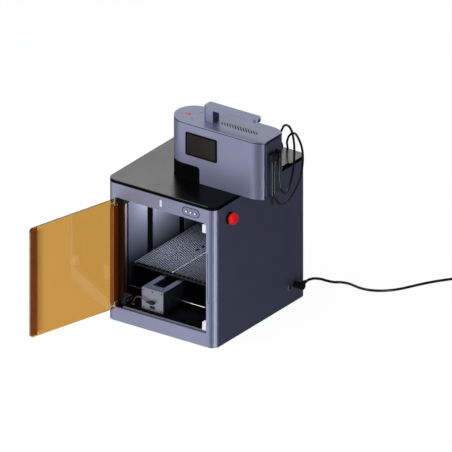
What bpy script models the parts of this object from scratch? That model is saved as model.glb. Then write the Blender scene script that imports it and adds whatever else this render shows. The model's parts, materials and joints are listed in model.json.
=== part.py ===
"""Desktop laser cutter: a cabinet with a swing door, a slide table and a laser head on its lid.

Metres, +Z up, +X to the right of the door, the front faces -Y. The origin is on the table, under the
middle of the cabinet.
"""
import math

import bmesh
import bpy
from mathutils import Matrix, Vector

# Clearance between pieces that touch
GAP = 0.0003
SHEET_EDGE = 0.0005
PLATE_EDGE = 0.0008
SMALL_EDGE = 0.001
BLOCK_EDGE = 0.002

# Cabinet
CABINET_WIDTH = 0.320
CABINET_DEPTH = 0.390
SHELL_HEIGHT = 0.368
SHELL_WALL = 0.0055
CORNER_RADIUS = 0.020
FOOT_HEIGHT = 0.003
FOOT_RADIUS = 0.014
FOOT_INSET = 0.030
BASE_THICKNESS = 0.0025
COVER_SIZE = 0.140
COVER_THICKNESS = 0.0014
COVER_CORNER = 0.008
LID_THICKNESS = 0.009
LID_EDGE = 0.003
FLOOR_HEIGHT = 0.043
FLOOR_THICKNESS = 0.002

# Door opening and door
JAMB_WIDTH = 0.0252
SILL_HEIGHT = 0.0363
FASCIA_HEIGHT = 0.037
DOOR_THICKNESS = 0.005
DOOR_EDGE_CLEARANCE = 0.0008
DOOR_STAND_OFF = 0.0006
DOOR_OVERLAP = 0.0091
DOOR_TAIL = 0.0032
DOOR_CORNER = 0.010
DOOR_OPEN_ANGLE = math.radians(105)
PIVOT_INSET = 0.0046
NOTCH_REACH = 0.0055
NOTCH_HEIGHT = 0.0155
ARM_HALF_WIDTH = 0.0035
ARM_THICKNESS = 0.008
ARM_ROOT = 0.004
PIN_RADIUS = 0.0012
PIN_CLEARANCE = 0.0001
PIN_DEPTH = 0.007
PIN_HEAD_COVER = 0.001
HINGE_POST_DEPTH = 0.036
HINGE_POST_CORNER = 0.0095
HINGE_BLOCK = Vector((0.023, 0.028, 0.018))
HINGE_EDGE = 0.0015
TAIL_SWING = 0.0136
CATCH_SIZE = Vector((0.0118, 0.012, 0.0215))
CATCH_OFFSET = 0.005
STOP_THICKNESS = 0.003
STOP_RISE = 0.004

# Left wall liner, as stretches along the inside of the cabinet, in shares of its depth
LINER_THICKNESS = 0.002
LINER_STRETCHES = (("front", 0.2005, 0.4121), ("middle", 0.4747, 0.7715), ("rear", 0.8298, 0.9538))

# Fascia controls
CONTROL_HEIGHT = 0.0188
PANEL_INSET = 0.0703
PANEL_LENGTH = 0.048
PANEL_WIDTH = 0.020
PANEL_PROUD = 0.0006
BUTTON_PITCH = 0.0129
BUTTON_RADIUS = 0.0047
BUTTON_PROUD = 0.0016
BUTTON_TRAVEL = 0.001
LIGHT_HEIGHT = 0.018
LIGHT_WIDTH = 0.0056
LIGHT_CORNER = 0.0026

# Emergency stop
ESTOP_SETBACK = 0.063
ESTOP_DROP = 0.038
ESTOP_CAP_RADIUS = 0.0145
ESTOP_CAP_DEPTH = 0.0136
ESTOP_BASE_RADIUS = 0.0154
ESTOP_BASE_DEPTH = 0.0022
ESTOP_STEM_RADIUS = 0.0075
ESTOP_STEM_INSIDE = 0.012
ESTOP_TRAVEL = 0.004

# Exhaust at the back
EXHAUST_X = -0.040
EXHAUST_Z = 0.250
DUCT_RADIUS = 0.050
DUCT_LENGTH = 0.028
DUCT_WALL = 0.0025
DUCT_FLANGE = 0.012
FLANGE_THICKNESS = 0.003
FAN_SIZE = 0.104
FAN_CORNER = 0.006
FAN_ARM_INSET = 0.002
FAN_DEPTH = 0.025
FAN_BORE = 0.047
FAN_HUB = 0.019
FAN_TIP_CLEARANCE = 0.002
FAN_ARM_WIDTH = 0.005
FAN_PLATE = 0.004
BLADE_COUNT = 7
BLADE_ROOT = 0.002
BLADE_THICKNESS = 0.0016
BLADE_TILT = math.radians(38)

# Electronics bay on the right
BAY_WIDTH = 0.062
BAY_FRONT = -0.110
BAY_HEIGHT = 0.150
BAY_WALL = 0.002
SUPPLY_SIZE = Vector((0.046, 0.160, 0.098))
SUPPLY_SETBACK = 0.030

# Slide table
SLIDE_X = -0.037
SLIDE_SETBACK = 0.018
SLIDE_REAR_CLEARANCE = 0.0085
SLIDE_WIDTH = 0.064
SLIDE_HEIGHT = 0.0545
SLIDE_FOOT = 0.0026
SLIDE_WALL = 0.006
SLIDE_SLOT = 0.034
SLOT_MARGIN = 0.020
END_THICKNESS = 0.004
ROD_RADIUS = 0.0016
ROD_HEIGHT = 0.013
ROD_INSET = 0.064
ROD_SHORT = 0.001
CARRIAGE_LENGTH = 0.070
CARRIAGE_NECK = 0.028
CARRIAGE_RISE = 0.0058
CARRIAGE_FOOT_WIDTH = 0.044
SCREW_RADIUS = 0.004
SCREW_CLEARANCE = 0.0008
SCREW_HEIGHT = 0.026
BED_SIDE_CLEARANCE = 0.0022
BED_REAR_CLEARANCE = 0.0095
BED_SETBACK = 0.099
BED_TRAY = 0.0035
BED_CORE = 0.0055
BED_MARGIN = 0.002

# Laser head
LENS_X = -0.0045
HEAD_Y = -0.0457
HEAD_RADIUS = 0.050
HEAD_STRAIGHT = 0.2004
HEAD_FLAT = 0.070
HEAD_HEIGHT = 0.1505
HEAD_WALL = 0.003
CAP_THICKNESS = 0.003
CAP_EDGE = 0.0014
END_PLATE_THICKNESS = 0.002
END_PLATE_MARGIN = 0.004
END_PLATE_CORNER = 0.006
SHIELD_END = 0.046
SHIELD_HEIGHT = 0.043
SHIELD_CORNER = 0.009
BARREL_RADIUS = 0.034
BARREL_WALL = 0.003
BARREL_BELOW = 0.018
BARREL_ABOVE = 0.026
SOURCE_SIZE = Vector((0.140, 0.060, 0.080))
SCREEN_X = 0.051
SCREEN_WIDTH = 0.0927
SCREEN_HEIGHT = 0.0615
SCREEN_THICKNESS = 0.001
SCREEN_RADIUS = 0.004
SCREEN_FROM_BOTTOM = 0.068
HANDLE_X = 0.1118
HANDLE_LENGTH = 0.161
HANDLE_HEIGHT = 0.0417
HANDLE_WIDTH = 0.027
HANDLE_CORNER = 0.007
HANDLE_POST = 0.031
HANDLE_BAR = 0.0094
HANDLE_WINDOW_CORNER = 0.003
HANDLE_EDGE = 0.0018
VENT_COUNT = 14
VENT_PITCH = 0.0079
VENT_WIDTH = 0.0026
VENT_LENGTH = 0.024
VENT_X = 0.1322
VENT_TILT = math.radians(42)
TOP_ROW_Y = -0.0038

# Cables
HEAD_CABLE_RADIUS = 0.0028
CONNECTOR_RADIUS = 0.0062
CONNECTOR_Z = 0.494
CONNECTOR_PITCH = 0.020
ELBOW_RADIUS = 0.0047
ELBOW_REACH = 0.009
ELBOW_DROP = 0.014
LID_NOTCH_Y = 0.111
LID_NOTCH_LENGTH = 0.032
LID_NOTCH_DEPTH = 0.007
LID_NOTCH_FLOOR = 0.002
GLAND_X = 0.0905
GLAND_DROP = 0.036
GLAND_SIZE = Vector((0.038, 0.016, 0.025))
GLAND_PITCH = 0.016
CORD_RADIUS = 0.0033
INLET_Y = 0.146
INLET_Z = 0.049
INLET_GLAND_LENGTH = 0.026
INLET_GLAND_RADIUS = 0.0085
COIL_MIDDLE_RADIUS = 0.037
COIL_TURNS_PER_LAYER = 2.5
COIL_STEP = 0.0073
COIL_POINTS_PER_TURN = 24
CORD_REST = 0.0036
CABLE_LEAD = 2.0
CABLE_STEP = 5.0
BOOT_LENGTH = 0.026
PLUG_LENGTH = 0.040
PLUG_RADIUS = 0.0095

# Worked out from the sizes above
HALF_WIDTH = CABINET_WIDTH / 2
HALF_DEPTH = CABINET_DEPTH / 2
INNER_X = HALF_WIDTH - SHELL_WALL
INNER_Y = HALF_DEPTH - SHELL_WALL
SHELL_BOTTOM = FOOT_HEIGHT
SHELL_TOP = SHELL_BOTTOM + SHELL_HEIGHT
LID_BOTTOM = SHELL_TOP + GAP
LID_TOP = LID_BOTTOM + LID_THICKNESS
OPENING_X = HALF_WIDTH - JAMB_WIDTH
OPENING_BOTTOM = SHELL_BOTTOM + SILL_HEIGHT
OPENING_TOP = SHELL_TOP - FASCIA_HEIGHT
FLOOR_TOP = SHELL_BOTTOM + FLOOR_HEIGHT
DOOR_BACK = -HALF_DEPTH - DOOR_STAND_OFF
DOOR_FRONT = DOOR_BACK - DOOR_THICKNESS
DOOR_BOTTOM = OPENING_BOTTOM + DOOR_EDGE_CLEARANCE
DOOR_TOP = OPENING_TOP - DOOR_EDGE_CLEARANCE
DOOR_RIGHT = OPENING_X + DOOR_OVERLAP
PIVOT = Vector((-OPENING_X + PIVOT_INSET, DOOR_FRONT + DOOR_THICKNESS / 2, 0))
DOOR_LEFT = PIVOT.x - DOOR_TAIL
CONTROL_Z = OPENING_TOP + CONTROL_HEIGHT
PANEL_X = HALF_WIDTH - PANEL_INSET
ESTOP_Y = -HALF_DEPTH + ESTOP_SETBACK
ESTOP_Z = SHELL_TOP - ESTOP_DROP
SLIDE_BOTTOM = FLOOR_TOP + GAP + SLIDE_FOOT
SLIDE_TOP = SLIDE_BOTTOM + SLIDE_HEIGHT
SLIDE_FRONT = -HALF_DEPTH + SLIDE_SETBACK
SLIDE_BACK = INNER_Y - SLIDE_REAR_CLEARANCE
BODY_FRONT = SLIDE_FRONT + END_THICKNESS + GAP
BODY_BACK = SLIDE_BACK - END_THICKNESS - GAP
BED_WIDTH = 2 * (INNER_X - GAP - LINER_THICKNESS - BED_SIDE_CLEARANCE + SLIDE_X)
BED_FRONT = -HALF_DEPTH + BED_SETBACK
BED_LENGTH = INNER_Y - BED_REAR_CLEARANCE - BED_FRONT
BED_MIDDLE = BED_FRONT + BED_LENGTH / 2
ROD_LENGTH = BED_WIDTH - 2 * ROD_SHORT
TRAY_BOTTOM = SLIDE_TOP + CARRIAGE_RISE + GAP
CORE_BOTTOM = TRAY_BOTTOM + BED_TRAY + GAP
SCREW_Z = SLIDE_BOTTOM + SCREW_HEIGHT
HEAD_BOTTOM = LID_TOP + GAP
HEAD_TOP = HEAD_BOTTOM + HEAD_HEIGHT
CAP_BOTTOM = HEAD_TOP + GAP
CAP_TOP = CAP_BOTTOM + CAP_THICKNESS
HEAD_RIGHT_X = LENS_X + HEAD_STRAIGHT
HEAD_END_X = HEAD_RIGHT_X + math.sqrt(HEAD_RADIUS ** 2 - (HEAD_FLAT / 2) ** 2)
SHELL_END_X = HEAD_END_X - END_PLATE_THICKNESS - GAP
HEAD_FRONT_Y = HEAD_Y - HEAD_RADIUS
PLUG_PROFILE = ((0.0, PLUG_LENGTH), (0.92 * PLUG_RADIUS, PLUG_LENGTH), (PLUG_RADIUS, 0.94 * PLUG_LENGTH),
                (PLUG_RADIUS, 0.6 * PLUG_LENGTH), (0.7 * PLUG_RADIUS, 0.45 * PLUG_LENGTH),
                (1.4 * CORD_RADIUS, 0.0), (0.0, 0.0))

ARC_STEPS = 8
ROUND_SIDES = 32
SAME_POINT = 0.000001


def start_collections():
    """Empty the scene and make one collection for the pieces and one for the cutters."""
    for item in list(bpy.data.objects):
        bpy.data.objects.remove(item, do_unlink=True)
    parts = bpy.data.collections.new("desktop_laser_cutter")
    cutters = bpy.data.collections.new("cutters")
    bpy.context.scene.collection.children.link(parts)
    bpy.context.scene.collection.children.link(cutters)
    return parts, cutters


PARTS, CUTTERS = start_collections()


def finish(name, colour, roughness, metallic=0.0):
    """A Principled material."""
    material = bpy.data.materials.new(name)
    material.use_nodes = True
    shader = material.node_tree.nodes["Principled BSDF"]
    shader.inputs["Base Color"].default_value = (*colour, 1.0)
    shader.inputs["Roughness"].default_value = roughness
    shader.inputs["Metallic"].default_value = metallic
    return material


BODY_GREY = finish("body_grey", (0.30, 0.31, 0.45), 0.45, 0.3)
BLACK_GLOSS = finish("black_gloss", (0.012, 0.012, 0.014), 0.18)
BLACK_MATT = finish("black_matt", (0.015, 0.015, 0.017), 0.6)
LINER_GREY = finish("liner_grey", (0.36, 0.38, 0.45), 0.4, 0.4)
AMBER = finish("amber_acrylic", (0.55, 0.30, 0.05), 0.08)
WHITE = finish("white_plastic", (0.85, 0.85, 0.86), 0.4)
LIGHT = finish("status_light", (0.75, 0.95, 1.0), 0.3)
RED = finish("stop_red", (0.75, 0.02, 0.03), 0.35)
ALLOY = finish("alloy", (0.62, 0.62, 0.68), 0.35, 0.8)
DARK_ALLOY = finish("dark_alloy", (0.06, 0.06, 0.09), 0.45, 0.5)
STEEL = finish("steel", (0.6, 0.6, 0.6), 0.3, 0.9)
CORE = finish("honeycomb", (0.42, 0.43, 0.47), 0.4, 0.7)
SCREEN_BLACK = finish("screen", (0.01, 0.01, 0.015), 0.1)
RUBBER = finish("rubber", (0.02, 0.02, 0.02), 0.8)


def place(name, mesh, material, collection=None):
    """A named object for a mesh, shaded smooth with sharp edges kept."""
    mesh.name = name
    mesh.materials.clear()
    mesh.materials.append(material)
    mesh.shade_smooth()
    mesh.set_sharp_from_angle(angle=math.radians(35))
    item = bpy.data.objects.new(name, mesh)
    (collection or PARTS).objects.link(item)
    return item


def soften(item, width, segments=2):
    """Round the sharp edges of a piece."""
    bevel = item.modifiers.new("rounded_edges", "BEVEL")
    bevel.width = width
    bevel.segments = segments
    bevel.limit_method = "ANGLE"
    bevel.angle_limit = math.radians(50)
    return item


def box(name, low, high, material, edge=0.0, collection=None):
    """A block between two corners."""
    low = Vector(low)
    high = Vector(high)
    shape = bmesh.new()
    bmesh.ops.create_cube(shape, size=1.0)
    for vertex in shape.verts:
        for axis in range(3):
            vertex.co[axis] = (low[axis] + high[axis]) / 2 + vertex.co[axis] * (high[axis] - low[axis])
    mesh = bpy.data.meshes.new(name)
    shape.to_mesh(mesh)
    shape.free()
    item = place(name, mesh, material, collection)
    if edge:
        soften(item, edge)
    return item


def along(axis):
    """The turn that takes +Z to the named axis."""
    turns = {"Z": Matrix.Identity(3), "X": Matrix(((0, 0, 1), (1, 0, 0), (0, 1, 0))),
             "Y": Matrix(((1, 0, 0), (0, 0, 1), (0, -1, 0)))}
    return turns[axis]


def cylinder(name, radius, start, length, axis, material, collection=None, end_radius=None, sides=ROUND_SIDES):
    """A round bar, or a cone, from its start point along an axis."""
    shape = bmesh.new()
    bmesh.ops.create_cone(shape, cap_ends=True, segments=sides, radius1=radius,
                          radius2=radius if end_radius is None else end_radius, depth=length)
    for vertex in shape.verts:
        vertex.co.z += length / 2
        vertex.co = along(axis) @ vertex.co + Vector(start)
    mesh = bpy.data.meshes.new(name)
    shape.to_mesh(mesh)
    shape.free()
    return place(name, mesh, material, collection)


def arc(centre, radius, first, last, steps=ARC_STEPS):
    """Points along an arc, angles in degrees."""
    points = []
    for step in range(steps + 1):
        angle = math.radians(first + (last - first) * step / steps)
        points.append((centre[0] + radius * math.cos(angle), centre[1] + radius * math.sin(angle)))
    return points


def rounded(low, high, radius):
    """A rectangle with round corners, from its two corners."""
    points = arc((high[0] - radius, high[1] - radius), radius, 0, 90)
    points += arc((low[0] + radius, high[1] - radius), radius, 90, 180)
    points += arc((low[0] + radius, low[1] + radius), radius, 180, 270)
    points += arc((high[0] - radius, low[1] + radius), radius, 270, 360)
    return points


def circle(centre, radius, sides=ROUND_SIDES):
    """A full circle."""
    return arc(centre, radius, 0, 360 - 360 / sides, sides - 1)


def extruded_mesh(name, outlines, low, high, plane):
    """A flat outline with holes, extruded between two heights along the plane's normal."""
    curve = bpy.data.curves.new(name, "CURVE")
    curve.dimensions = "2D"
    curve.fill_mode = "BOTH"
    curve.extrude = (high - low) / 2
    for outline in outlines:
        corners = [spot for spot, before in zip(outline, outline[-1:] + outline)
                   if math.dist(spot, before) > SAME_POINT]
        spline = curve.splines.new("POLY")
        spline.points.add(len(corners) - 1)
        for point, (across, up) in zip(spline.points, corners):
            point.co = (across, up, 0.0, 1.0)
        spline.use_cyclic_u = True
    guide = bpy.data.objects.new(name + "_outline", curve)
    bpy.context.scene.collection.objects.link(guide)
    bpy.context.view_layer.update()
    seen = guide.evaluated_get(bpy.context.evaluated_depsgraph_get())
    mesh = bpy.data.meshes.new_from_object(seen)
    bpy.data.objects.remove(guide, do_unlink=True)
    shape = bmesh.new()
    shape.from_mesh(mesh)
    bmesh.ops.remove_doubles(shape, verts=shape.verts, dist=SAME_POINT)
    middle = (low + high) / 2
    for vertex in shape.verts:
        across, up, out = vertex.co
        if plane == "XY":
            vertex.co = (across, up, middle + out)
        elif plane == "XZ":
            vertex.co = (across, middle - out, up)
        else:
            vertex.co = (middle + out, across, up)
    if shape.calc_volume(signed=True) < 0:
        bmesh.ops.reverse_faces(shape, faces=shape.faces)
    shape.to_mesh(mesh)
    shape.free()
    return mesh


def extruded(name, outlines, low, high, plane, material, collection=None):
    """An extruded outline as a piece."""
    return place(name, extruded_mesh(name, outlines, low, high, plane), material, collection)


def turned(name, profile, start, axis, material, sides=ROUND_SIDES):
    """A profile of (radius, height) points, top to bottom, turned about an axis."""
    shape = bmesh.new()
    corners = [shape.verts.new((radius, 0.0, height)) for radius, height in profile]
    for first, second in zip(corners, corners[1:]):
        shape.edges.new((first, second))
    mesh = bpy.data.meshes.new(name)
    shape.to_mesh(mesh)
    shape.free()
    guide = bpy.data.objects.new(name + "_profile", mesh)
    bpy.context.scene.collection.objects.link(guide)
    screw = guide.modifiers.new("turn", "SCREW")
    screw.steps = sides
    screw.render_steps = sides
    screw.use_merge_vertices = True
    screw.merge_threshold = SAME_POINT
    bpy.context.view_layer.update()
    seen = guide.evaluated_get(bpy.context.evaluated_depsgraph_get())
    solid = bpy.data.meshes.new_from_object(seen)
    bpy.data.objects.remove(guide, do_unlink=True)
    shape = bmesh.new()
    shape.from_mesh(solid)
    bmesh.ops.remove_doubles(shape, verts=shape.verts, dist=SAME_POINT)
    bmesh.ops.dissolve_degenerate(shape, dist=SAME_POINT / 2, edges=shape.edges)
    for vertex in shape.verts:
        vertex.co = along(axis) @ vertex.co + Vector(start)
    if shape.calc_volume(signed=True) < 0:
        bmesh.ops.reverse_faces(shape, faces=shape.faces)
    shape.to_mesh(solid)
    shape.free()
    return place(name, solid, material)


def combine(target, tool, operation):
    """Cut a piece with a tool, or join or keep what they share."""
    if tool.name not in CUTTERS.objects:
        CUTTERS.objects.link(tool)
    if tool.name in PARTS.objects:
        PARTS.objects.unlink(tool)
    tool.hide_render = True
    tool.display_type = "WIRE"
    boolean = target.modifiers.new(tool.name, "BOOLEAN")
    boolean.operation = operation
    boolean.solver = "EXACT"
    boolean.object = tool
    return target


def cut(target, tool):
    """Take a tool's shape out of a piece."""
    return combine(target, tool, "DIFFERENCE")


def join(target, tool):
    """Make a tool's shape one with a piece."""
    return combine(target, tool, "UNION")


def set_origin(item, point):
    """Move a piece's origin to a point of its joint's axis, with the piece where it is."""
    item.data.transform(Matrix.Translation(-Vector(point)))
    item.location = point


def tube(name, points, radius, material, resolution=2):
    """A cable along a list of points."""
    curve = bpy.data.curves.new(name, "CURVE")
    curve.dimensions = "3D"
    curve.bevel_depth = radius
    curve.bevel_resolution = resolution
    curve.use_fill_caps = True
    spline = curve.splines.new("POLY")
    spline.points.add(len(points) - 1)
    for point, place_at in zip(spline.points, points):
        point.co = (*place_at, 1.0)
    item = bpy.data.objects.new(name, curve)
    curve.materials.append(material)
    PARTS.objects.link(item)
    return item


def smooth_route(points, step):
    """Points read at an even step from a smooth curve through a route's own points."""
    ends = [points[0] * 2 - points[1]] + points + [points[-1] * 2 - points[-2]]
    fine = []
    for index in range(1, len(ends) - 2):
        before, first, second, after = ends[index - 1:index + 3]
        for part in range(24):
            t = part / 24
            fine.append(0.5 * (2 * first + (second - before) * t
                               + (2 * before - 5 * first + 4 * second - after) * t ** 2
                               + (3 * first - before - 3 * second + after) * t ** 3))
    fine.append(points[-1])
    lengths = [0.0]
    for first, second in zip(fine, fine[1:]):
        lengths.append(lengths[-1] + (second - first).length)
    count = max(2, round(lengths[-1] / step))
    route = []
    index = 0
    for number in range(count + 1):
        wanted = lengths[-1] * number / count
        while index < len(fine) - 2 and lengths[index + 1] < wanted:
            index += 1
        share = (wanted - lengths[index]) / (lengths[index + 1] - lengths[index])
        route.append(fine[index].lerp(fine[index + 1], min(1.0, share)))
    return route


def make_base():
    """Base pan, feet and the service cover under it."""
    reach_x = INNER_X - GAP
    reach_y = INNER_Y - GAP
    outline = rounded((-reach_x, -reach_y), (reach_x, reach_y), CORNER_RADIUS - SHELL_WALL)
    extruded("base_pan", [outline], SHELL_BOTTOM, SHELL_BOTTOM + BASE_THICKNESS, "XY", BLACK_MATT)
    for side, x in (("left", -HALF_WIDTH + FOOT_INSET), ("right", HALF_WIDTH - FOOT_INSET)):
        for end, y in (("front", -HALF_DEPTH + FOOT_INSET), ("rear", HALF_DEPTH - FOOT_INSET)):
            cylinder(f"foot_{end}_{side}", FOOT_RADIUS, (x, y, 0), FOOT_HEIGHT - GAP, "Z", RUBBER)
    half = COVER_SIZE / 2
    top = SHELL_BOTTOM - GAP
    extruded("bottom_cover", [rounded((-half, -half), (half, half), COVER_CORNER)], top - COVER_THICKNESS, top,
             "XY", BLACK_MATT)


def make_shell():
    """The folded wrap of the cabinet, with its door opening and its holes."""
    outer = rounded((-HALF_WIDTH, -HALF_DEPTH), (HALF_WIDTH, HALF_DEPTH), CORNER_RADIUS)
    inner = rounded((-INNER_X, -INNER_Y), (INNER_X, INNER_Y), CORNER_RADIUS - SHELL_WALL)
    shell = extruded("body_shell", [outer, inner], SHELL_BOTTOM, SHELL_TOP, "XY", BODY_GREY)
    through = (-HALF_DEPTH - SHELL_WALL, -HALF_DEPTH + 2 * SHELL_WALL)
    cut(shell, box("opening_cutter", (-OPENING_X, through[0], OPENING_BOTTOM),
                   (OPENING_X, through[1], OPENING_TOP), BLACK_MATT))
    half_x = PANEL_LENGTH / 2 + GAP
    half_z = PANEL_WIDTH / 2 + GAP
    pill = rounded((PANEL_X - half_x, CONTROL_Z - half_z), (PANEL_X + half_x, CONTROL_Z + half_z), half_z)
    cut(shell, extruded("panel_cutter", [pill], through[0], through[1], "XZ", BLACK_MATT))
    half_x = LIGHT_WIDTH / 2 + GAP
    half_z = LIGHT_HEIGHT / 2 + GAP
    bar = rounded((-half_x, CONTROL_Z - half_z), (half_x, CONTROL_Z + half_z), LIGHT_CORNER + GAP)
    cut(shell, extruded("light_cutter", [bar], through[0], through[1], "XZ", BLACK_MATT))
    wall = INNER_X - SHELL_WALL
    cut(shell, cylinder("stop_cutter", ESTOP_STEM_RADIUS + GAP, (wall, ESTOP_Y, ESTOP_Z),
                        3 * SHELL_WALL, "X", BLACK_MATT))
    cut(shell, cylinder("inlet_cutter", INLET_GLAND_RADIUS + GAP, (wall, INLET_Y, INLET_Z),
                        3 * SHELL_WALL, "X", BLACK_MATT))
    cut(shell, cylinder("exhaust_cutter", DUCT_RADIUS, (EXHAUST_X, INNER_Y - SHELL_WALL, EXHAUST_Z),
                        3 * SHELL_WALL, "Y", BLACK_MATT, sides=2 * ROUND_SIDES))


def make_inside():
    """Floor tray, hinge post, sill stop, catches, liner panels and the electronics bay."""
    stop_back = -INNER_Y + GAP + STOP_THICKNESS
    tray_front = PIVOT.y + TAIL_SWING
    tray = rounded((-INNER_X + GAP, tray_front), (INNER_X - GAP, INNER_Y - GAP), CORNER_RADIUS - SHELL_WALL)
    extruded("floor_tray", [tray], FLOOR_TOP - FLOOR_THICKNESS, FLOOR_TOP, "XY", BLACK_MATT)
    box("door_stop", (PIVOT.x + TAIL_SWING, -INNER_Y + GAP, OPENING_BOTTOM - 2 * STOP_RISE),
        (OPENING_X, stop_back, OPENING_BOTTOM + STOP_RISE), BODY_GREY)
    post_front = stop_back + GAP
    post_back = post_front + HINGE_POST_DEPTH
    post = rounded((-INNER_X + GAP, post_front), (-OPENING_X, post_back), HINGE_POST_CORNER)
    extruded("hinge_post", [post], FLOOR_TOP + GAP, SHELL_TOP - GAP, "XY", BLACK_MATT)
    catch_front = -HALF_DEPTH + GAP
    catch_left = OPENING_X - GAP - CATCH_SIZE.x
    for name, low in (("top", OPENING_TOP - CATCH_OFFSET - CATCH_SIZE.z),
                      ("bottom", FLOOR_TOP + GAP)):
        corner = Vector((catch_left, catch_front, low))
        box(f"door_catch_{name}", corner, corner + CATCH_SIZE, WHITE, SMALL_EDGE)
    for name, start, end in LINER_STRETCHES:
        front = (2 * start - 1) * INNER_Y
        back = (2 * end - 1) * INNER_Y
        box(f"liner_{name}", (-INNER_X + GAP, front, FLOOR_TOP + GAP),
            (-INNER_X + GAP + LINER_THICKNESS, back, SHELL_TOP - GAP), LINER_GREY, SHEET_EDGE)
    bay_right = INNER_X - GAP
    bay_left = bay_right - BAY_WIDTH
    bay_back = HALF_DEPTH - CORNER_RADIUS - SHELL_WALL
    bay_bottom = FLOOR_TOP + GAP
    cover = box("electronics_cover", (bay_left, BAY_FRONT, bay_bottom),
                (bay_right, bay_back, bay_bottom + BAY_HEIGHT), BLACK_MATT)
    cut(cover, box("bay_cutter", (bay_left + BAY_WALL, BAY_FRONT + BAY_WALL, bay_bottom - BAY_WALL),
                   (bay_right + BAY_WALL, bay_back + BAY_WALL, bay_bottom + BAY_HEIGHT - BAY_WALL), BLACK_MATT))
    corner = Vector((bay_right - GAP - SUPPLY_SIZE.x, BAY_FRONT + SUPPLY_SETBACK, bay_bottom))
    box("power_supply", corner, corner + SUPPLY_SIZE, STEEL, SMALL_EDGE)


def make_lid():
    """The black lid, with the beam aperture and the cable notch."""
    outline = rounded((-HALF_WIDTH, -HALF_DEPTH), (HALF_WIDTH, HALF_DEPTH), CORNER_RADIUS)
    aperture = circle((LENS_X, HEAD_Y), BARREL_RADIUS + GAP)
    lid = extruded("lid", [outline, aperture], LID_BOTTOM, LID_TOP, "XY", BLACK_GLOSS)
    soften(lid, LID_EDGE, 3)
    half = LID_NOTCH_LENGTH / 2
    cut(lid, box("notch_cutter", (HALF_WIDTH - LID_NOTCH_DEPTH, LID_NOTCH_Y - half, LID_BOTTOM + LID_NOTCH_FLOOR),
                 (HALF_WIDTH + LID_NOTCH_DEPTH, LID_NOTCH_Y + half, LID_TOP + GAP), BLACK_GLOSS))


def make_door():
    """The amber door, standing open, on pins in the arms of the two hinge blocks."""
    notch_x = PIVOT.x + NOTCH_REACH
    notch_low = DOOR_BOTTOM + NOTCH_HEIGHT
    notch_high = DOOR_TOP - NOTCH_HEIGHT
    outline = [(DOOR_LEFT, notch_low), (notch_x, notch_low), (notch_x, DOOR_BOTTOM)]
    outline += arc((DOOR_RIGHT - DOOR_CORNER, DOOR_BOTTOM + DOOR_CORNER), DOOR_CORNER, 270, 360)
    outline += arc((DOOR_RIGHT - DOOR_CORNER, DOOR_TOP - DOOR_CORNER), DOOR_CORNER, 0, 90)
    outline += [(notch_x, DOOR_TOP), (notch_x, notch_high), (DOOR_LEFT, notch_high)]
    door = extruded("door_panel", [outline], DOOR_FRONT, DOOR_BACK, "XZ", AMBER)
    set_origin(door, PIVOT)
    door.rotation_euler.z = -DOOR_OPEN_ANGLE
    top_arm = notch_high + DOOR_EDGE_CLEARANCE
    bottom_arm = notch_low - DOOR_EDGE_CLEARANCE - ARM_THICKNESS
    make_hinge("top", door, OPENING_TOP - HINGE_BLOCK.z, top_arm, notch_high - PIN_DEPTH,
               top_arm + ARM_THICKNESS - PIN_HEAD_COVER)
    make_hinge("bottom", door, FLOOR_TOP + GAP, bottom_arm, bottom_arm + PIN_HEAD_COVER, notch_low + PIN_DEPTH)


def make_hinge(name, door, block_low, arm_low, pin_low, pin_high):
    """A hinge block inside the cabinet, with an arm that reaches out to the door's pin."""
    front = PIVOT.y + TAIL_SWING
    corner = Vector((-OPENING_X + GAP, front, block_low))
    block = box(f"hinge_block_{name}", corner, corner + HINGE_BLOCK, BLACK_MATT, HINGE_EDGE)
    arm = arc((PIVOT.x, PIVOT.y), ARM_HALF_WIDTH, 180, 360)
    arm += [(PIVOT.x + ARM_HALF_WIDTH, front + ARM_ROOT), (PIVOT.x - ARM_HALF_WIDTH, front + ARM_ROOT)]
    join(block, extruded(f"hinge_arm_{name}", [arm], arm_low, arm_low + ARM_THICKNESS, "XY", BLACK_MATT))
    start = Vector((PIVOT.x, PIVOT.y, pin_low))
    cylinder(f"hinge_pin_{name}", PIN_RADIUS, start, pin_high - pin_low, "Z", STEEL, sides=16)
    for piece, label in ((block, "arm"), (door, "door")):
        hole = cylinder(f"{label}_hole_{name}", PIN_RADIUS + PIN_CLEARANCE, start - Vector((0, 0, GAP)),
                        pin_high - pin_low + 2 * GAP, "Z", STEEL, sides=16)
        cut(piece, hole)


def make_controls():
    """Status light, button panel and push buttons on the fascia."""
    half_x = LIGHT_WIDTH / 2
    half_z = LIGHT_HEIGHT / 2
    bar = rounded((-half_x, CONTROL_Z - half_z), (half_x, CONTROL_Z + half_z), LIGHT_CORNER)
    extruded("status_light", [bar], -HALF_DEPTH - GAP, -INNER_Y, "XZ", LIGHT)
    half_x = PANEL_LENGTH / 2
    half_z = PANEL_WIDTH / 2
    pill = rounded((PANEL_X - half_x, CONTROL_Z - half_z), (PANEL_X + half_x, CONTROL_Z + half_z), half_z)
    centres = [(PANEL_X + step * BUTTON_PITCH, CONTROL_Z) for step in (-1, 0, 1)]
    holes = [circle(centre, BUTTON_RADIUS + GAP) for centre in centres]
    front = -HALF_DEPTH - PANEL_PROUD
    extruded("button_panel", [pill] + holes, front, -INNER_Y, "XZ", BODY_GREY)
    for name, (x, z) in zip(("left", "middle", "right"), centres):
        face = front - BUTTON_PROUD
        button = extruded(f"button_{name}", [circle((x, z), BUTTON_RADIUS)], face,
                          -INNER_Y - BUTTON_TRAVEL, "XZ", WHITE)
        set_origin(button, (x, face, z))


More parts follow.
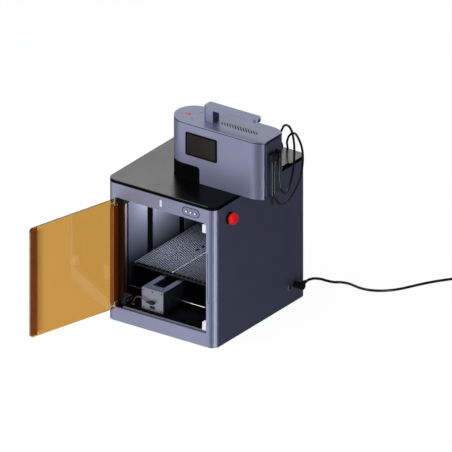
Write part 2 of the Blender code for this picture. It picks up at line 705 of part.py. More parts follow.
def make_estop():
    """Emergency stop on the right wall: base ring, stem and mushroom cap."""
    base_start = HALF_WIDTH + GAP
    stem_start = INNER_X - ESTOP_STEM_INSIDE
    base_end = base_start + ESTOP_BASE_DEPTH
    cap_start = base_end + ESTOP_TRAVEL + 2 * GAP
    middle = (ESTOP_Y, ESTOP_Z)
    extruded("estop_base", [circle(middle, ESTOP_BASE_RADIUS), circle(middle, ESTOP_STEM_RADIUS + GAP)],
             base_start, base_end, "YZ", BLACK_MATT)
    stem = cylinder("estop_stem", ESTOP_STEM_RADIUS, (stem_start, *middle), cap_start - GAP - stem_start, "X", RED)
    set_origin(stem, (stem_start, *middle))
    radius = ESTOP_CAP_RADIUS
    depth = ESTOP_CAP_DEPTH
    profile = [(0.0, depth), (0.5 * radius, 0.97 * depth), (0.8 * radius, 0.86 * depth), (0.95 * radius, 0.66 * depth),
               (radius, 0.4 * depth), (radius, 0.08 * depth), (0.94 * radius, 0.0), (0.0, 0.0)]
    cap = turned("estop_cap", profile, (cap_start, *middle), "X", RED)
    set_origin(cap, (cap_start, *middle))


def make_exhaust():
    """Duct collar on the back, with the fan frame and rotor inside."""
    middle = (EXHAUST_X, EXHAUST_Z)
    inner = circle(middle, DUCT_RADIUS - DUCT_WALL, 2 * ROUND_SIDES)
    back = HALF_DEPTH + GAP
    collar = extruded("exhaust_collar", [circle(middle, DUCT_RADIUS + DUCT_FLANGE, 2 * ROUND_SIDES), inner],
                      back, back + FLANGE_THICKNESS, "XZ", BLACK_MATT)
    join(collar, extruded("collar_tube", [circle(middle, DUCT_RADIUS, 2 * ROUND_SIDES), inner],
                          back + FLANGE_THICKNESS / 2, back + DUCT_LENGTH, "XZ", BLACK_MATT))
    half = FAN_SIZE / 2
    fan_back = INNER_Y - GAP
    fan_front = fan_back - FAN_DEPTH
    square = rounded((EXHAUST_X - half, EXHAUST_Z - half), (EXHAUST_X + half, EXHAUST_Z + half), FAN_CORNER)
    frame = extruded("fan_frame", [square, circle(middle, FAN_BORE, 2 * ROUND_SIDES)], fan_front, fan_back,
                     "XZ", BLACK_MATT)
    join(frame, cylinder("fan_plate", FAN_HUB, (EXHAUST_X, fan_front, EXHAUST_Z), FAN_PLATE, "Y", BLACK_MATT))
    for number in range(2):
        arm = box(f"fan_arm_{number}", (-half + FAN_ARM_INSET, fan_front, -FAN_ARM_WIDTH / 2),
                  (half - FAN_ARM_INSET, fan_front + FAN_PLATE, FAN_ARM_WIDTH / 2), BLACK_MATT)
        turn = Matrix.Rotation(math.radians(45 + 90 * number), 4, "Y")
        arm.data.transform(Matrix.Translation((EXHAUST_X, 0, EXHAUST_Z)) @ turn)
        join(frame, arm)
    hub_front = fan_front + FAN_PLATE + GAP
    rotor = cylinder("fan_rotor", FAN_HUB, (EXHAUST_X, hub_front, EXHAUST_Z), fan_back - hub_front, "Y", BLACK_MATT)
    blade_length = FAN_BORE - FAN_TIP_CLEARANCE - FAN_HUB
    blade_width = 0.8 * (fan_back - hub_front)
    for number in range(BLADE_COUNT):
        blade = box(f"fan_blade_{number}", (-BLADE_ROOT, -blade_width / 2, -BLADE_THICKNESS / 2),
                    (blade_length, blade_width / 2, BLADE_THICKNESS / 2), BLACK_MATT)
        tilt = Matrix.Rotation(BLADE_TILT, 4, "X")
        turn = Matrix.Rotation(2 * math.pi * number / BLADE_COUNT, 4, "Y")
        seat = Matrix.Translation((EXHAUST_X, (hub_front + fan_back) / 2, EXHAUST_Z))
        blade.data.transform(seat @ turn @ Matrix.Translation((FAN_HUB, 0, 0)) @ tilt)
        join(rotor, blade)


def make_slide():
    """The slide table: body, end plates, rods, screw, carriage and the honeycomb bed on it."""
    left = SLIDE_X - SLIDE_WIDTH / 2
    right = SLIDE_X + SLIDE_WIDTH / 2
    body = box("slide_body", (left, BODY_FRONT, SLIDE_BOTTOM), (right, BODY_BACK, SLIDE_TOP), DARK_ALLOY)
    cavity_half = CARRIAGE_FOOT_WIDTH / 2 + 2 * GAP
    cut(body, box("slide_cavity", (SLIDE_X - cavity_half, BODY_FRONT - GAP, SLIDE_BOTTOM + SLIDE_WALL),
                  (SLIDE_X + cavity_half, BODY_BACK + GAP, SLIDE_TOP - SLIDE_WALL), DARK_ALLOY))
    cut(body, box("slide_slot", (SLIDE_X - SLIDE_SLOT / 2, BODY_FRONT + SLOT_MARGIN, SLIDE_TOP - 2 * SLIDE_WALL),
                  (SLIDE_X + SLIDE_SLOT / 2, BODY_BACK - SLOT_MARGIN, SLIDE_TOP + SLIDE_WALL), DARK_ALLOY))
    rods = (("front", SLIDE_FRONT + ROD_INSET), ("rear", SLIDE_BACK - ROD_INSET))
    for name, y in rods:
        start = (SLIDE_X - ROD_LENGTH / 2, y, SLIDE_BOTTOM + ROD_HEIGHT)
        cut(body, cylinder(f"rod_hole_{name}", ROD_RADIUS + GAP, start, ROD_LENGTH, "X", STEEL, sides=16))
        cylinder(f"stabiliser_rod_{name}", ROD_RADIUS, start, ROD_LENGTH, "X", STEEL, sides=16)
    for name, front in (("front", SLIDE_FRONT), ("rear", SLIDE_BACK - END_THICKNESS)):
        box(f"slide_end_{name}", (left, front, FLOOR_TOP + GAP), (right, front + END_THICKNESS, SLIDE_TOP), ALLOY,
            PLATE_EDGE)
    middle = (SLIDE_X, SCREW_Z)
    cylinder("slide_screw", SCREW_RADIUS, (SLIDE_X, BODY_FRONT, SCREW_Z), BODY_BACK - BODY_FRONT, "Y", STEEL)
    carriage_front = BED_MIDDLE - CARRIAGE_LENGTH / 2
    carriage_back = BED_MIDDLE + CARRIAGE_LENGTH / 2
    foot_half = CARRIAGE_FOOT_WIDTH / 2
    neck_half = CARRIAGE_NECK / 2
    foot_low = SLIDE_BOTTOM + SLIDE_WALL + GAP
    foot_high = SLIDE_TOP - SLIDE_WALL - GAP
    profile = [(SLIDE_X - foot_half, foot_low), (SLIDE_X + foot_half, foot_low), (SLIDE_X + foot_half, foot_high),
               (SLIDE_X + neck_half, foot_high), (SLIDE_X + neck_half, SLIDE_TOP + CARRIAGE_RISE),
               (SLIDE_X - neck_half, SLIDE_TOP + CARRIAGE_RISE), (SLIDE_X - neck_half, foot_high),
               (SLIDE_X - foot_half, foot_high)]
    bore = circle(middle, SCREW_RADIUS + SCREW_CLEARANCE)
    extruded("slide_carriage", [profile, bore], carriage_front, carriage_back, "XZ", DARK_ALLOY)
    half = BED_WIDTH / 2
    box("bed_tray", (SLIDE_X - half, BED_FRONT, TRAY_BOTTOM),
        (SLIDE_X + half, BED_FRONT + BED_LENGTH, TRAY_BOTTOM + BED_TRAY), BLACK_MATT, SHEET_EDGE)
    box("honeycomb_core", (SLIDE_X - half + BED_MARGIN, BED_FRONT, CORE_BOTTOM),
        (SLIDE_X + half - BED_MARGIN, BED_FRONT + BED_LENGTH, CORE_BOTTOM + BED_CORE), CORE)


def head_outline(inset, end_x):
    """The head's plan: a stadium cut flat at its right end, drawn in by an inset."""
    radius = HEAD_RADIUS - inset
    half_flat = math.sqrt(radius ** 2 - (end_x - HEAD_RIGHT_X) ** 2)
    end_angle = math.degrees(math.atan2(half_flat, end_x - HEAD_RIGHT_X))
    points = arc((HEAD_RIGHT_X, HEAD_Y), radius, end_angle, 90)
    points += arc((LENS_X, HEAD_Y), radius, 90, 270, 3 * ARC_STEPS)
    points += arc((HEAD_RIGHT_X, HEAD_Y), radius, 270, 360 - end_angle)
    return points


def shield_block(name, shrink):
    """The block that parts the lens shield from the head's shell."""
    corner = SHIELD_CORNER
    right = SHIELD_END - shrink
    top = HEAD_BOTTOM + SHIELD_HEIGHT - shrink
    left = LENS_X - 2 * HEAD_RADIUS
    low = HEAD_BOTTOM - HEAD_WALL
    outline = [(left, low), (right, low)] + arc((right - corner, top - corner), corner, 0, 90) + [(left, top)]
    return extruded(name, [outline], HEAD_Y - 2 * HEAD_RADIUS, HEAD_Y + 2 * HEAD_RADIUS, "XZ", BLACK_MATT)


def make_head():
    """The laser head: shell, shield, cap, end plate, handle, screen and what it holds inside."""
    walls = [head_outline(0, SHELL_END_X), head_outline(HEAD_WALL, SHELL_END_X - HEAD_WALL)]
    shell = extruded("head_shell", walls[:1], HEAD_BOTTOM, HEAD_TOP, "XY", BODY_GREY)
    cut(shell, extruded("head_cavity", walls[1:], HEAD_BOTTOM + HEAD_WALL, HEAD_TOP + HEAD_WALL, "XY", BODY_GREY))
    cut(shell, shield_block("shield_cutter", 0.0))
    shield = extruded("lens_shield", walls, HEAD_BOTTOM, HEAD_TOP, "XY", BLACK_GLOSS)
    combine(shield, shield_block("shield_keeper", GAP), "INTERSECT")
    cap = extruded("head_cap", [head_outline(0, HEAD_END_X)], CAP_BOTTOM, CAP_TOP, "XY", BODY_GREY)
    soften(cap, CAP_EDGE)
    for number in range(VENT_COUNT):
        offset = number - (VENT_COUNT - 1) / 2
        length = VENT_LENGTH * math.sqrt(1 - (offset / (VENT_COUNT / 2 + 1)) ** 2)
        slot = box(f"vent_{number}", (-VENT_WIDTH / 2, -length / 2, -CAP_THICKNESS),
                   (VENT_WIDTH / 2, length / 2, CAP_THICKNESS), BLACK_MATT)
        seat = Matrix.Translation((VENT_X + offset * VENT_PITCH, HEAD_Y + TOP_ROW_Y, CAP_TOP - CAP_THICKNESS / 2))
        slot.data.transform(seat @ Matrix.Rotation(VENT_TILT, 4, "Z"))
        cut(cap, slot)
    half = HEAD_FLAT / 2 - END_PLATE_MARGIN
    plate_low = (HEAD_Y - half, HEAD_BOTTOM + END_PLATE_MARGIN)
    plate_high = (HEAD_Y + half, HEAD_TOP - END_PLATE_MARGIN)
    extruded("head_end_plate", [rounded(plate_low, plate_high, END_PLATE_CORNER)], SHELL_END_X + GAP, HEAD_END_X, "YZ",
             BODY_GREY)
    left = SCREEN_X - SCREEN_WIDTH / 2
    low = HEAD_BOTTOM + SCREEN_FROM_BOTTOM
    glass = rounded((left, low), (left + SCREEN_WIDTH, low + SCREEN_HEIGHT), SCREEN_RADIUS)
    extruded("head_screen", [glass], HEAD_FRONT_Y - GAP - SCREEN_THICKNESS, HEAD_FRONT_Y - GAP, "XZ", SCREEN_BLACK)
    make_handle()
    barrel_low = LID_BOTTOM - BARREL_BELOW
    middle = (LENS_X, HEAD_Y)
    extruded("lens_barrel", [circle(middle, BARREL_RADIUS), circle(middle, BARREL_RADIUS - BARREL_WALL)],
             barrel_low, HEAD_BOTTOM + BARREL_ABOVE, "XY", BLACK_MATT)
    corner = Vector((HEAD_RIGHT_X - SOURCE_SIZE.x, HEAD_Y - SOURCE_SIZE.y / 2, HEAD_BOTTOM + HEAD_WALL + GAP))
    box("laser_source", corner, corner + SOURCE_SIZE, ALLOY, BLOCK_EDGE)


def make_handle():
    """The carrying handle: one post on the head's cap and a flat bar with a free end."""
    low = CAP_TOP + GAP
    left = HANDLE_X - HANDLE_LENGTH / 2
    right = HANDLE_X + HANDLE_LENGTH / 2
    top = low + HANDLE_HEIGHT
    bar = top - HANDLE_BAR
    post = left + HANDLE_POST
    window = HANDLE_WINDOW_CORNER
    corner = HANDLE_CORNER
    half = HANDLE_WIDTH / 2
    middle = HEAD_Y + TOP_ROW_Y
    profile = [(left, low), (post, low)]
    profile += arc((post + window, bar - window), window, 180, 90, 4)
    profile += [(right, bar), (right, top)]
    profile += arc((left + corner, top - corner), corner, 90, 180)
    handle = extruded("head_handle", [profile], middle - half, middle + half, "XZ", BODY_GREY)
    plan = rounded((left, middle - half), (right, middle + half), half - GAP)
    combine(handle, extruded("handle_plan", [plan], low - GAP, top + GAP, "XY", BODY_GREY), "INTERSECT")
    soften(handle, HANDLE_EDGE, 3)


def vectors(points):
    """Points written in millimetres, as vectors in metres."""
    return [Vector(point) / 1000 for point in points]


# Routes of the cables, in millimetres, between the first and the last point that the fittings give
INNER_ROUTE = ((240.9, -36, 460), (240.9, -36, 437), (240.9, -34, 413), (240.4, -27, 391), (238, -8, 373),
               (230, 18, 371), (221, 46, 392), (213, 66, 420), (205, 79, 455), (197, 84, 483), (188, 85, 500),
               (178, 85, 504), (167, 89, 497), (156, 97, 482), (145, 107, 466), (128, 126, 438), (108, 151, 413),
               (94, 177, 400), (86, 195, 389), (83, 202.6, 373), (82.5, 203.3, 356))
OUTER_ROUTE = ((240.9, -56, 460), (240.9, -57, 435), (240.9, -57.5, 410), (240.6, -55, 388), (239, -44, 367),
               (235, -26, 350), (229, -2, 340), (221, 32, 337), (213, 72, 347), (205, 106, 367), (196, 128, 394),
               (185, 141, 420), (170, 148, 440), (150, 158, 447), (126, 171, 429), (108, 187, 402),
               (101, 198, 387), (98.8, 202.8, 372), (98.5, 203.3, 356))
POWER_ROUTE = ((173, 184, 49.2), (174, 205, 45), (176, 232, 34), (177.5, 260, 18.5), (181, 283, 7.4),
               (191, 298, 4), (210, 303, 3.6), (232, 300, 3.6), (252, 298, 3.6), (274, 302, 3.6), (298, 314, 3.6),
               (317, 332, 3.6), (331, 352, 3.6), (344, 377, 3.6), (359, 407, 3.6), (377, 437, 3.6),
               (395, 461.8, 3.6))
COIL_START = (0.4255, 0.5025)
COIL_HEADING = Vector((0.6, 0.8, 0.0))


def cable(name, first, heading_out, route, last, heading_in, radius):
    """A cable that leaves its first fitting and meets its last one square, and is smooth between."""
    lead = CABLE_LEAD * radius
    points = [first + heading_out * lead] + vectors(route) + [last - heading_in * lead]
    tube(name, [first] + smooth_route(points, CABLE_STEP * radius) + [last], radius, RUBBER)


def make_head_cables():
    """Elbow connectors on the head's end, the cable gland on the back and the two cables between them."""
    start_x = HEAD_END_X + GAP
    gland_top = SHELL_TOP - GLAND_DROP
    corner = Vector((GLAND_X - GLAND_SIZE.x / 2, HALF_DEPTH + GAP, gland_top - GLAND_SIZE.z))
    box("cable_gland", corner, corner + GLAND_SIZE, BLACK_MATT, BLOCK_EDGE)
    for name, side, route in (("inner", 1, INNER_ROUTE), ("outer", -1, OUTER_ROUTE)):
        y = HEAD_Y + side * CONNECTOR_PITCH / 2
        elbow = cylinder(f"connector_{name}", CONNECTOR_RADIUS, (start_x, y, CONNECTOR_Z),
                         ELBOW_REACH + ELBOW_RADIUS / 2, "X", BLACK_MATT)
        foot = Vector((start_x + ELBOW_REACH, y, CONNECTOR_Z - ELBOW_DROP))
        join(elbow, cylinder(f"elbow_{name}", ELBOW_RADIUS, foot, ELBOW_DROP, "Z", BLACK_MATT))
        first = foot - Vector((0, 0, GAP))
        last = Vector((GLAND_X - side * GLAND_PITCH / 2, corner.y + GLAND_SIZE.y / 2, gland_top + GAP))
        cable(f"head_cable_{name}", first, Vector((0, 0, -1)), route, last, Vector((0, 0, -1)), HEAD_CABLE_RADIUS)


def coil_points():
    """One unbroken lead: spiral in, climb a layer in the half turn where it reverses, and spiral out."""
    outer = COIL_MIDDLE_RADIUS + COIL_STEP * COIL_TURNS_PER_LAYER / 2
    heading = COIL_HEADING
    to_centre = Vector((heading.y, -heading.x, 0))
    start = Vector((*COIL_START, CORD_REST))
    centre = start + to_centre * outer
    turns = 2 * COIL_TURNS_PER_LAYER + 0.5
    count = round(turns * COIL_POINTS_PER_TURN)
    points = []
    for number in range(count + 1):
        turn = number / COIL_POINTS_PER_TURN
        inward = min(turn, turns - turn)
        radius = outer - COIL_STEP * inward
        climb = min(1.0, max(0.0, (turn - COIL_TURNS_PER_LAYER) / 0.5))
        spoke = Matrix.Rotation(-2 * math.pi * turn, 3, "Z") @ -to_centre
        points.append(centre + spoke * radius + Vector((0, 0, COIL_STEP * climb)))
    straight = (points[-1] - points[-2]).normalized() * 2 * CORD_RADIUS
    straight.z = 0
    return [start - heading * 2 * CORD_RADIUS] + points + [points[-1] + straight]


def least_gap(points, radius):
    """The least clear distance between turns of a tube that aren't neighbours along it."""
    near = COIL_POINTS_PER_TURN // 2
    spans = [(first - second).length for number, first in enumerate(points) for second in points[number + near:]]
    return min(spans) - 2 * radius


def make_power_cord():
    """Elbow gland on the right wall, the lead along the table, its coil and its plug."""
    wall = INNER_X + GAP
    gland = cylinder("power_gland", INLET_GLAND_RADIUS, (wall, INLET_Y, INLET_Z),
                     HALF_WIDTH + INLET_GLAND_LENGTH - wall, "X", BLACK_MATT)
    boot_x = HALF_WIDTH + INLET_GLAND_LENGTH / 2
    boot_start = Vector((boot_x, INLET_Y, INLET_Z))
    join(gland, cylinder("gland_boot", 0.9 * INLET_GLAND_RADIUS, boot_start, BOOT_LENGTH, "Y", BLACK_MATT,
                         end_radius=1.4 * CORD_RADIUS))
    first = boot_start + Vector((0, BOOT_LENGTH + GAP, 0))
    coil = coil_points()
    last = coil[0] - COIL_HEADING * GAP
    cable("power_cord", first, Vector((0, 1, 0)), POWER_ROUTE, last, COIL_HEADING, CORD_RADIUS)
    tube("power_cord_coil", coil, CORD_RADIUS, RUBBER, 1)
    print("least gap of the coil to itself, mm:", round(1000 * least_gap(coil[1:-1], CORD_RADIUS), 2))
    heading = (coil[-1] - coil[-2]).normalized()
    plug = turned("power_plug", PLUG_PROFILE, (0, 0, 0), "Z", BLACK_MATT, 24)
    plug.rotation_mode = "QUATERNION"
    plug.rotation_quaternion = heading.to_track_quat("Z", "Y")
    plug.location = coil[-1] + heading * GAP


parts = [make_base, make_shell, make_inside, make_lid, make_door, make_controls, make_estop, make_exhaust,
         make_slide, make_head, make_head_cables, make_power_cord]
for make in parts:
    make()
bpy.context.view_layer.update()
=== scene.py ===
"""Looks of the desktop laser cutter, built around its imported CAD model.

Metres, in the CAD model's frame: +Z up, +X to the right of the door, the front faces -Y.
"""
import json
import math

import bmesh
import bpy
from mathutils import Matrix, Vector


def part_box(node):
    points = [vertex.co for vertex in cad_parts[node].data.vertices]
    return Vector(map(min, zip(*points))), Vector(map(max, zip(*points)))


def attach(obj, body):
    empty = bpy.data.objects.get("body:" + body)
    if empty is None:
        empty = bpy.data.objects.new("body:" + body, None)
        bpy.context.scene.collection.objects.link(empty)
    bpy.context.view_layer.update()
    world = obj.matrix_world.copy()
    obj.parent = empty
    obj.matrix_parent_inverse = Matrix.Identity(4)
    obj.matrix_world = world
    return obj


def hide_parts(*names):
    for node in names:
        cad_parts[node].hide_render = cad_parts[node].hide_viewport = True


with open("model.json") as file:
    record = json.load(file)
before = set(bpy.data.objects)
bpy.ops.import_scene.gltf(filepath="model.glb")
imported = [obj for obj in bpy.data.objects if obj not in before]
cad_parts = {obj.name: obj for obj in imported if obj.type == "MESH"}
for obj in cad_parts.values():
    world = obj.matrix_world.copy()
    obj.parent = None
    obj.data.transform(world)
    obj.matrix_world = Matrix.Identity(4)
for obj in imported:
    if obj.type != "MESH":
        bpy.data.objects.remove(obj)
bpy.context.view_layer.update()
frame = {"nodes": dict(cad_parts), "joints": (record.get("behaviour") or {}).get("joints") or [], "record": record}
NODES = frame["nodes"]
JOINTS = {joint["name"]: joint for joint in frame["joints"]}
SCENE = bpy.context.scene

# View of the photograph
VIEW_AZIMUTH = math.radians(35)
VIEW_ELEVATION = math.radians(25)
VIEW_TARGET = Vector((0.0386, 0.0270, 0.2178))
VIEW_WIDTH = 1.100
VIEW_DISTANCE = 3.0
VIEW_END = 50.0

# Shared sizes and headings
GAP = 0.0003
SKIN = 0.0001
MERGE = 0.000001
SHARP = math.radians(35)
SLOW_GRAIN = 14.0
CORNER_STEPS = 8
ROUND_SIDES = 32
SCREW_SIDES = 24
SMALL_SIDES = 20
DOT_SIDES = 10
WIRE_SIDES = 8
DOOR_OPEN = math.radians(105)
BUTTONS = ("left", "middle", "right")
DOWN = Vector((0, 0, -1))
LEFT = Vector((-1, 0, 0))
RIGHT = Vector((1, 0, 0))
FORWARD = Vector((0, -1, 0))
BACKWARD = Vector((0, 1, 0))

# Studio; each light has its place, target, size and power
FLOOR_SIZE = 12.0
INSIDE_TINT = (0.93, 0.96, 1.06)
DEEP_SPREAD = math.radians(95)
SURROUND = (0.92, 0.96, 1.10, 1.0)
SURROUND_STRENGTH = 0.11
LIGHTS = {"key": ((-1.1, -2.6, 1.5), (0.0, -0.1, 0.25), (2.2, 1.8), 62.0),
          "top": ((-0.3, -0.2, 2.4), (0.05, 0.0, 0.4), (1.6, 1.6), 6.0),
          "inside": ((0.00, -0.160, 0.364), (-0.08, 0.00, 0.20), (0.16, 0.02), 0.41),
          "inside_deep": ((-0.09, 0.00, 0.364), (-0.13, 0.01, 0.12), (0.10, 0.03), 0.37),
          "front_card": ((-0.80, -1.35, -0.40), (0.05, -0.15, 0.35), (2.0, 2.0), 18.5),
          "corner_card": ((1.33, -0.58, -0.35), (0.18, -0.15, 0.30), (0.95, 1.2), 14.5),
          "cap_card": ((-0.71, 0.85, 1.05), (0.0, -0.05, 0.53), (1.2, 0.8), 4.4),
          "lid_sheen": ((-1.9, 2.6, 1.9), (0.0, 0.0, 0.4), (2.6, 1.6), 168.0)}

# Cabinet, as in the CAD source
CABINET_X = 0.16
OPENING_HALF = 0.1348
INNER_X = 0.1545
INNER_Y = 0.1895
INNER_CORNER = 0.0145

# Inner linings
LINING = 0.00018
LINING_GAP = 0.00004
LINING_TOP = 0.3705
# Heights over which the liners' painted shade runs from dark at the bottom to light at the top
LINER_PAINTED_SHADE = (0.115, 0.36)
TRIM_FRONT = -0.128
TRIM_BACK = -0.1195
TRIM_THICKNESS = 0.0016
TRIM_EDGE = 0.0004
SEAL_THICKNESS = 0.0012
SEAL_WIDTH = 0.0200

# Bed; the foil's shade stops are (place, brightness) from the foil's front to its back: a little darker at the
# very front, then painted shade that darkens it towards the back
CELL_PITCH = 0.00706
CELL_WALL = 0.0016
CELL_SHIFT = 0.0012
FOIL_FRONT = -0.096
FOIL_BACK = 0.180
FOIL_SHADE_STOPS = ((0.0, 0.66), (0.30, 1.0), (0.55, 0.96), (1.0, 0.30))
RAIL_WIDTH = 0.0018
RAIL_EDGE = 0.0003
BED_SEAM_WIDTH = 0.0007
BED_SEAM_EDGE = 0.0002
BED_SLOT = Vector((0.0070, 0.0108))
BED_SLOT_X = -0.0235
BED_SLOT_Y = (0.143, 0.167)
BED_SLOT_CORNER = BED_SLOT.x / 2.01

# Door and its print; a screw is given by its head's radius and height
DOOR_LEFT = -0.1334
DOOR_RIGHT = 0.1439
DOOR_FRONT = -0.2006
DOOR_BACK = -0.1956
DOOR_LOW = 0.0401
DOOR_HIGH = 0.3332
DOOR_NOTCH = 0.0155
PRINT_EDGE = 0.0022
PRINT_BAND = 0.0215
PRINT_FADE = 0.024
PRINT_PITCH = 0.0036
PRINT_LARGEST = 0.00165
PRINT_SMALLEST = 0.0006
PRINT_CORNER = 0.008
HINGE_BAND = 0.0118
HINGE_FADE = 0.0126
HINGE_DOT = 0.0011
DOOR_CORNER = 0.010
HINGE_SCREWS = (0.0085, 0.0145)
HINGE_SCREW_DROP = 0.008
HINGE_SCREW = (0.0019, 0.0005)

# Slide's front plate and its lead; a boot is given by its radius and length, a turned piece by its profile
PLATE_SCREW = (0.0021, 0.001155)
PLATE_SCREW_INSET = 0.0055
SOCKET = (0.0145, 0.0070)
SOCKET_RIM = 0.0022
SOCKET_DEPTH = 0.0008
SOCKET_CORNERS = (0.0021, 0.00154)
SOCKET_Z = (0.0700, 0.0564)
PLUG_WIDTH = 0.0135
PLUG_HEIGHT = 0.0064
PLUG_DEPTH = 0.0090
PLUG_EDGE = 0.0012
SLIDE_BOOT = (0.0026, 0.009)
THIN_LEAD_RADIUS = 0.0017
THIN_LEAD_ROUTE = ((-60, -182, 75), (-72, -181, 78), (-83, -179, 73), (-91, -176, 64), (-97, -173, 55))
THIN_LEAD_END = (-0.1000, -0.1710)
GROMMET_HEIGHT = 0.0024
GROMMET = ((0.0, 0.0, 0), (0.0052, 0.0, 0), (0.0052, 0.0009, 0), (0.0040, 0.0018, 0),
           (0.0030, GROMMET_HEIGHT, 0), (0.0, GROMMET_HEIGHT, 0))

# Controls and small fittings
GROOVE = 0.0017
BUTTON_MARK = 0.0019
GASKET_LOW = 0.0420
GASKET_HIGH = 0.0446
GASKET_LEFT = -0.1130
JAMB_SLOT_X = 0.1391
JAMB_SLOT = 0.0013
JAMB_SLOT_LOW = 0.128
JAMB_SLOT_HIGH = 0.254
JAMB_DOT = 0.0016
JAMB_DOT_AT = (0.1427, 0.1236)
VENT_COUNT = 14
VENT_PITCH = 0.0079
VENT_WIDTH = 0.0022
VENT_LENGTH = 0.024
VENT_X = 0.1322
VENT_Y = -0.0495
VENT_TILT = math.radians(42)
VENT_DROP = 0.0004
LID_EDGE = 0.0009
LID_EDGE_REACH = 0.1400
HEAD_STRAIGHT = 0.2004
HEAD_FLAT = 0.070
SEAM_DROP = 0.0014
SEAM_STEPS = 24
SCREEN_RIM = 0.0044
SCREEN_RIM_DEPTH = 0.0002
SCREEN_CORNER = 0.0040
INDICATOR_AT = (-0.019, -0.0500)
INDICATOR_RIM = ((0.0150, 0.0080, 0.0039), (0.0132, 0.0062, 0.0030))
INDICATOR_LENS = (0.0130, 0.0060, 0.0029)
INDICATOR_RIM_HEIGHT = 0.0004
INDICATOR_LENS_HEIGHT = 0.0003
CAP_PLUGS = ((0.0040, -0.0280), (0.0040, -0.0685))
CAP_PLUG = ((0.0, 0.0, 0), (0.0034, 0.0, 0), (0.0034, 0.0002, 0), (0.0030, 0.0004, 0), (0.0, 0.0005, 0))
END_SCREW = (0.0020, 0.0008)
END_SCREW_INSET = (0.006, 0.008)
WALL_SCREW = (0.0022, 0.0008)
WALL_SCREWS = ((0.1415, 0.3210), (0.1110, 0.3100))
BLOCK_SCREW = (0.0019, 0.0009)
BLOCK_SCREWS = (0.018, 0.006)
SWITCH_AT = (0.1230, 0.0485)
SWITCH = (("switch_plate", "steel", 0.0, 0.0010, 0.0045, 0.0075, 0.0004),
          ("switch_rocker", "black_plastic", 0.0011, 0.0028, 0.0028, 0.0052, 0.0008))
FLANGE_THICKNESS = 0.0033
FLANGE_SCREW = (0.0024, 0.00132)
FLANGE_SCREW_INSET = 0.0055
BACK_SCREW = (0.0026, 0.00143)
BACK_SCREW_X = 0.128
BACK_SCREW_Z = (0.030, 0.345)
GUARD_RINGS = (0.012, 0.022, 0.032, 0.0425)
GUARD_SIDES = 48
GUARD_WIRE = 0.0008
GUARD_DEPTH = 0.0060

# Cables, as in the CAD source; routes are in millimetres
HEAD_CABLE_RADIUS = 0.0028
ELBOW_RADIUS = 0.0047
GLAND_PITCH = 0.016
CORD_RADIUS = 0.0033
CORD_REST = 0.0036
CABLE_LEAD = 2.0
CABLE_STEP = 1.5
ROUTE_PARTS = 24
HEAD_BOOT = (0.0054, 0.034)
GLAND_BOOT = (0.0046, 0.014)
BOOT_RIBS = 5
BOOT_RIB = 0.62
BOOT_COLLAR = 0.12
BOOT_RIBBED = 0.84
BOOT_WALL = 0.0005
POWER_EXIT_Z = 0.049
COIL_MIDDLE_RADIUS = 0.037
COIL_TURNS_PER_LAYER = 2.5
COIL_STEP = 0.0073
COIL_POINTS_PER_TURN = 36
COIL_START = (0.4255, 0.5025)
COIL_HEADING = Vector((0.6, 0.8, 0.0))
TIE_WIDTH = 0.011
TIE_THICKNESS = 0.0011
TIE_ROOM = 0.0002
TIE_FLOOR = 0.00012
TIE_CORNER = 0.0034
PLUG_REACH = 0.0404
PIN = ((0.0, 0.0, 0), (0.0020, 0.0, 0), (0.0020, 0.0153, 0), (0.0012, 0.0170, 0), (0.0, 0.0170, 0))
PIN_SPACING = 0.0100
INNER_ROUTE = ((240.9, -36, 460), (240.9, -36, 437), (240.9, -34, 413), (240.4, -27, 391), (238, -8, 373),
               (230, 18, 371), (221, 46, 392), (213, 66, 420), (205, 79, 455), (197, 84, 483),
               (188, 85, 500), (178, 85, 504), (167, 89, 497), (156, 97, 482), (145, 107, 466),
               (128, 126, 438), (108, 151, 413), (94, 177, 400), (86, 195, 389), (83, 202.6, 373),
               (82.5, 203.3, 356))
OUTER_ROUTE = ((240.9, -56, 460), (240.9, -57, 435), (240.9, -57.5, 410), (240.6, -55, 388), (239, -44, 367),
               (235, -26, 350), (229, -2, 340), (221, 32, 337), (213, 72, 347), (205, 106, 367),
               (196, 128, 394), (185, 141, 420), (170, 148, 440), (150, 158, 447), (126, 171, 429),
               (108, 187, 402), (101, 198, 387), (98.8, 202.8, 372), (98.5, 203.3, 356))
SERVICE_PITCH = 0.0108
SERVICE_HALF = 0.0040
SERVICE_EDGE = 0.0011
SERVICE_END = 0.3880
SERVICE_ROUTE = ((241.1, -66.6, 466), (241.3, -66.8, 451), (241.4, -66.9, 436), (241.3, -66.8, 421),
                 (241.1, -66.6, 406))
SERVICE_PLUG = ((0.0, 0.0, 0), (0.0036, 0.0, 0), (0.0043, 0.0014, 0), (0.0043, 0.0130, 0),
                (0.0031, 0.0145, 0), (0.0031, 0.0210, 0), (0.0010, 0.0250, 0), (0.0, 0.0250, 0))
POWER_ROUTE = ((173, 184, 49.2), (174, 205, 45), (176, 232, 34), (177.5, 260, 18.5), (181, 283, 7.4),
               (191, 298, 4), (210, 303, 3.6), (232, 300, 3.6), (252, 298, 3.6), (274, 302, 3.6),
               (298, 314, 3.6), (317, 332, 3.6), (331, 352, 3.6), (344, 377, 3.6), (359, 407, 3.6),
               (377, 437, 3.6), (395, 461.8, 3.6))


def start_material(name):
    """A new material with its node tree and its Principled shader."""
    material = bpy.data.materials.new(name)
    material.use_nodes = True
    tree = material.node_tree
    return material, tree, tree.nodes["Principled BSDF"]


def set_values(node, values):
    """Set a node's values; the underscores in a socket's name stand for spaces."""
    for name, value in values.items():
        node.inputs[name.replace("_", " ")].default_value = value


def add_node(tree, kind, source, socket, **values):
    """A shader node with a source at one of its sockets."""
    node = tree.nodes.new(f"ShaderNode{kind}")
    tree.links.new(source, node.inputs[socket])
    set_values(node, values)
    return node


def own_place(tree):
    """The object's own coordinates."""
    return tree.nodes.new("ShaderNodeTexCoord").outputs["Object"]


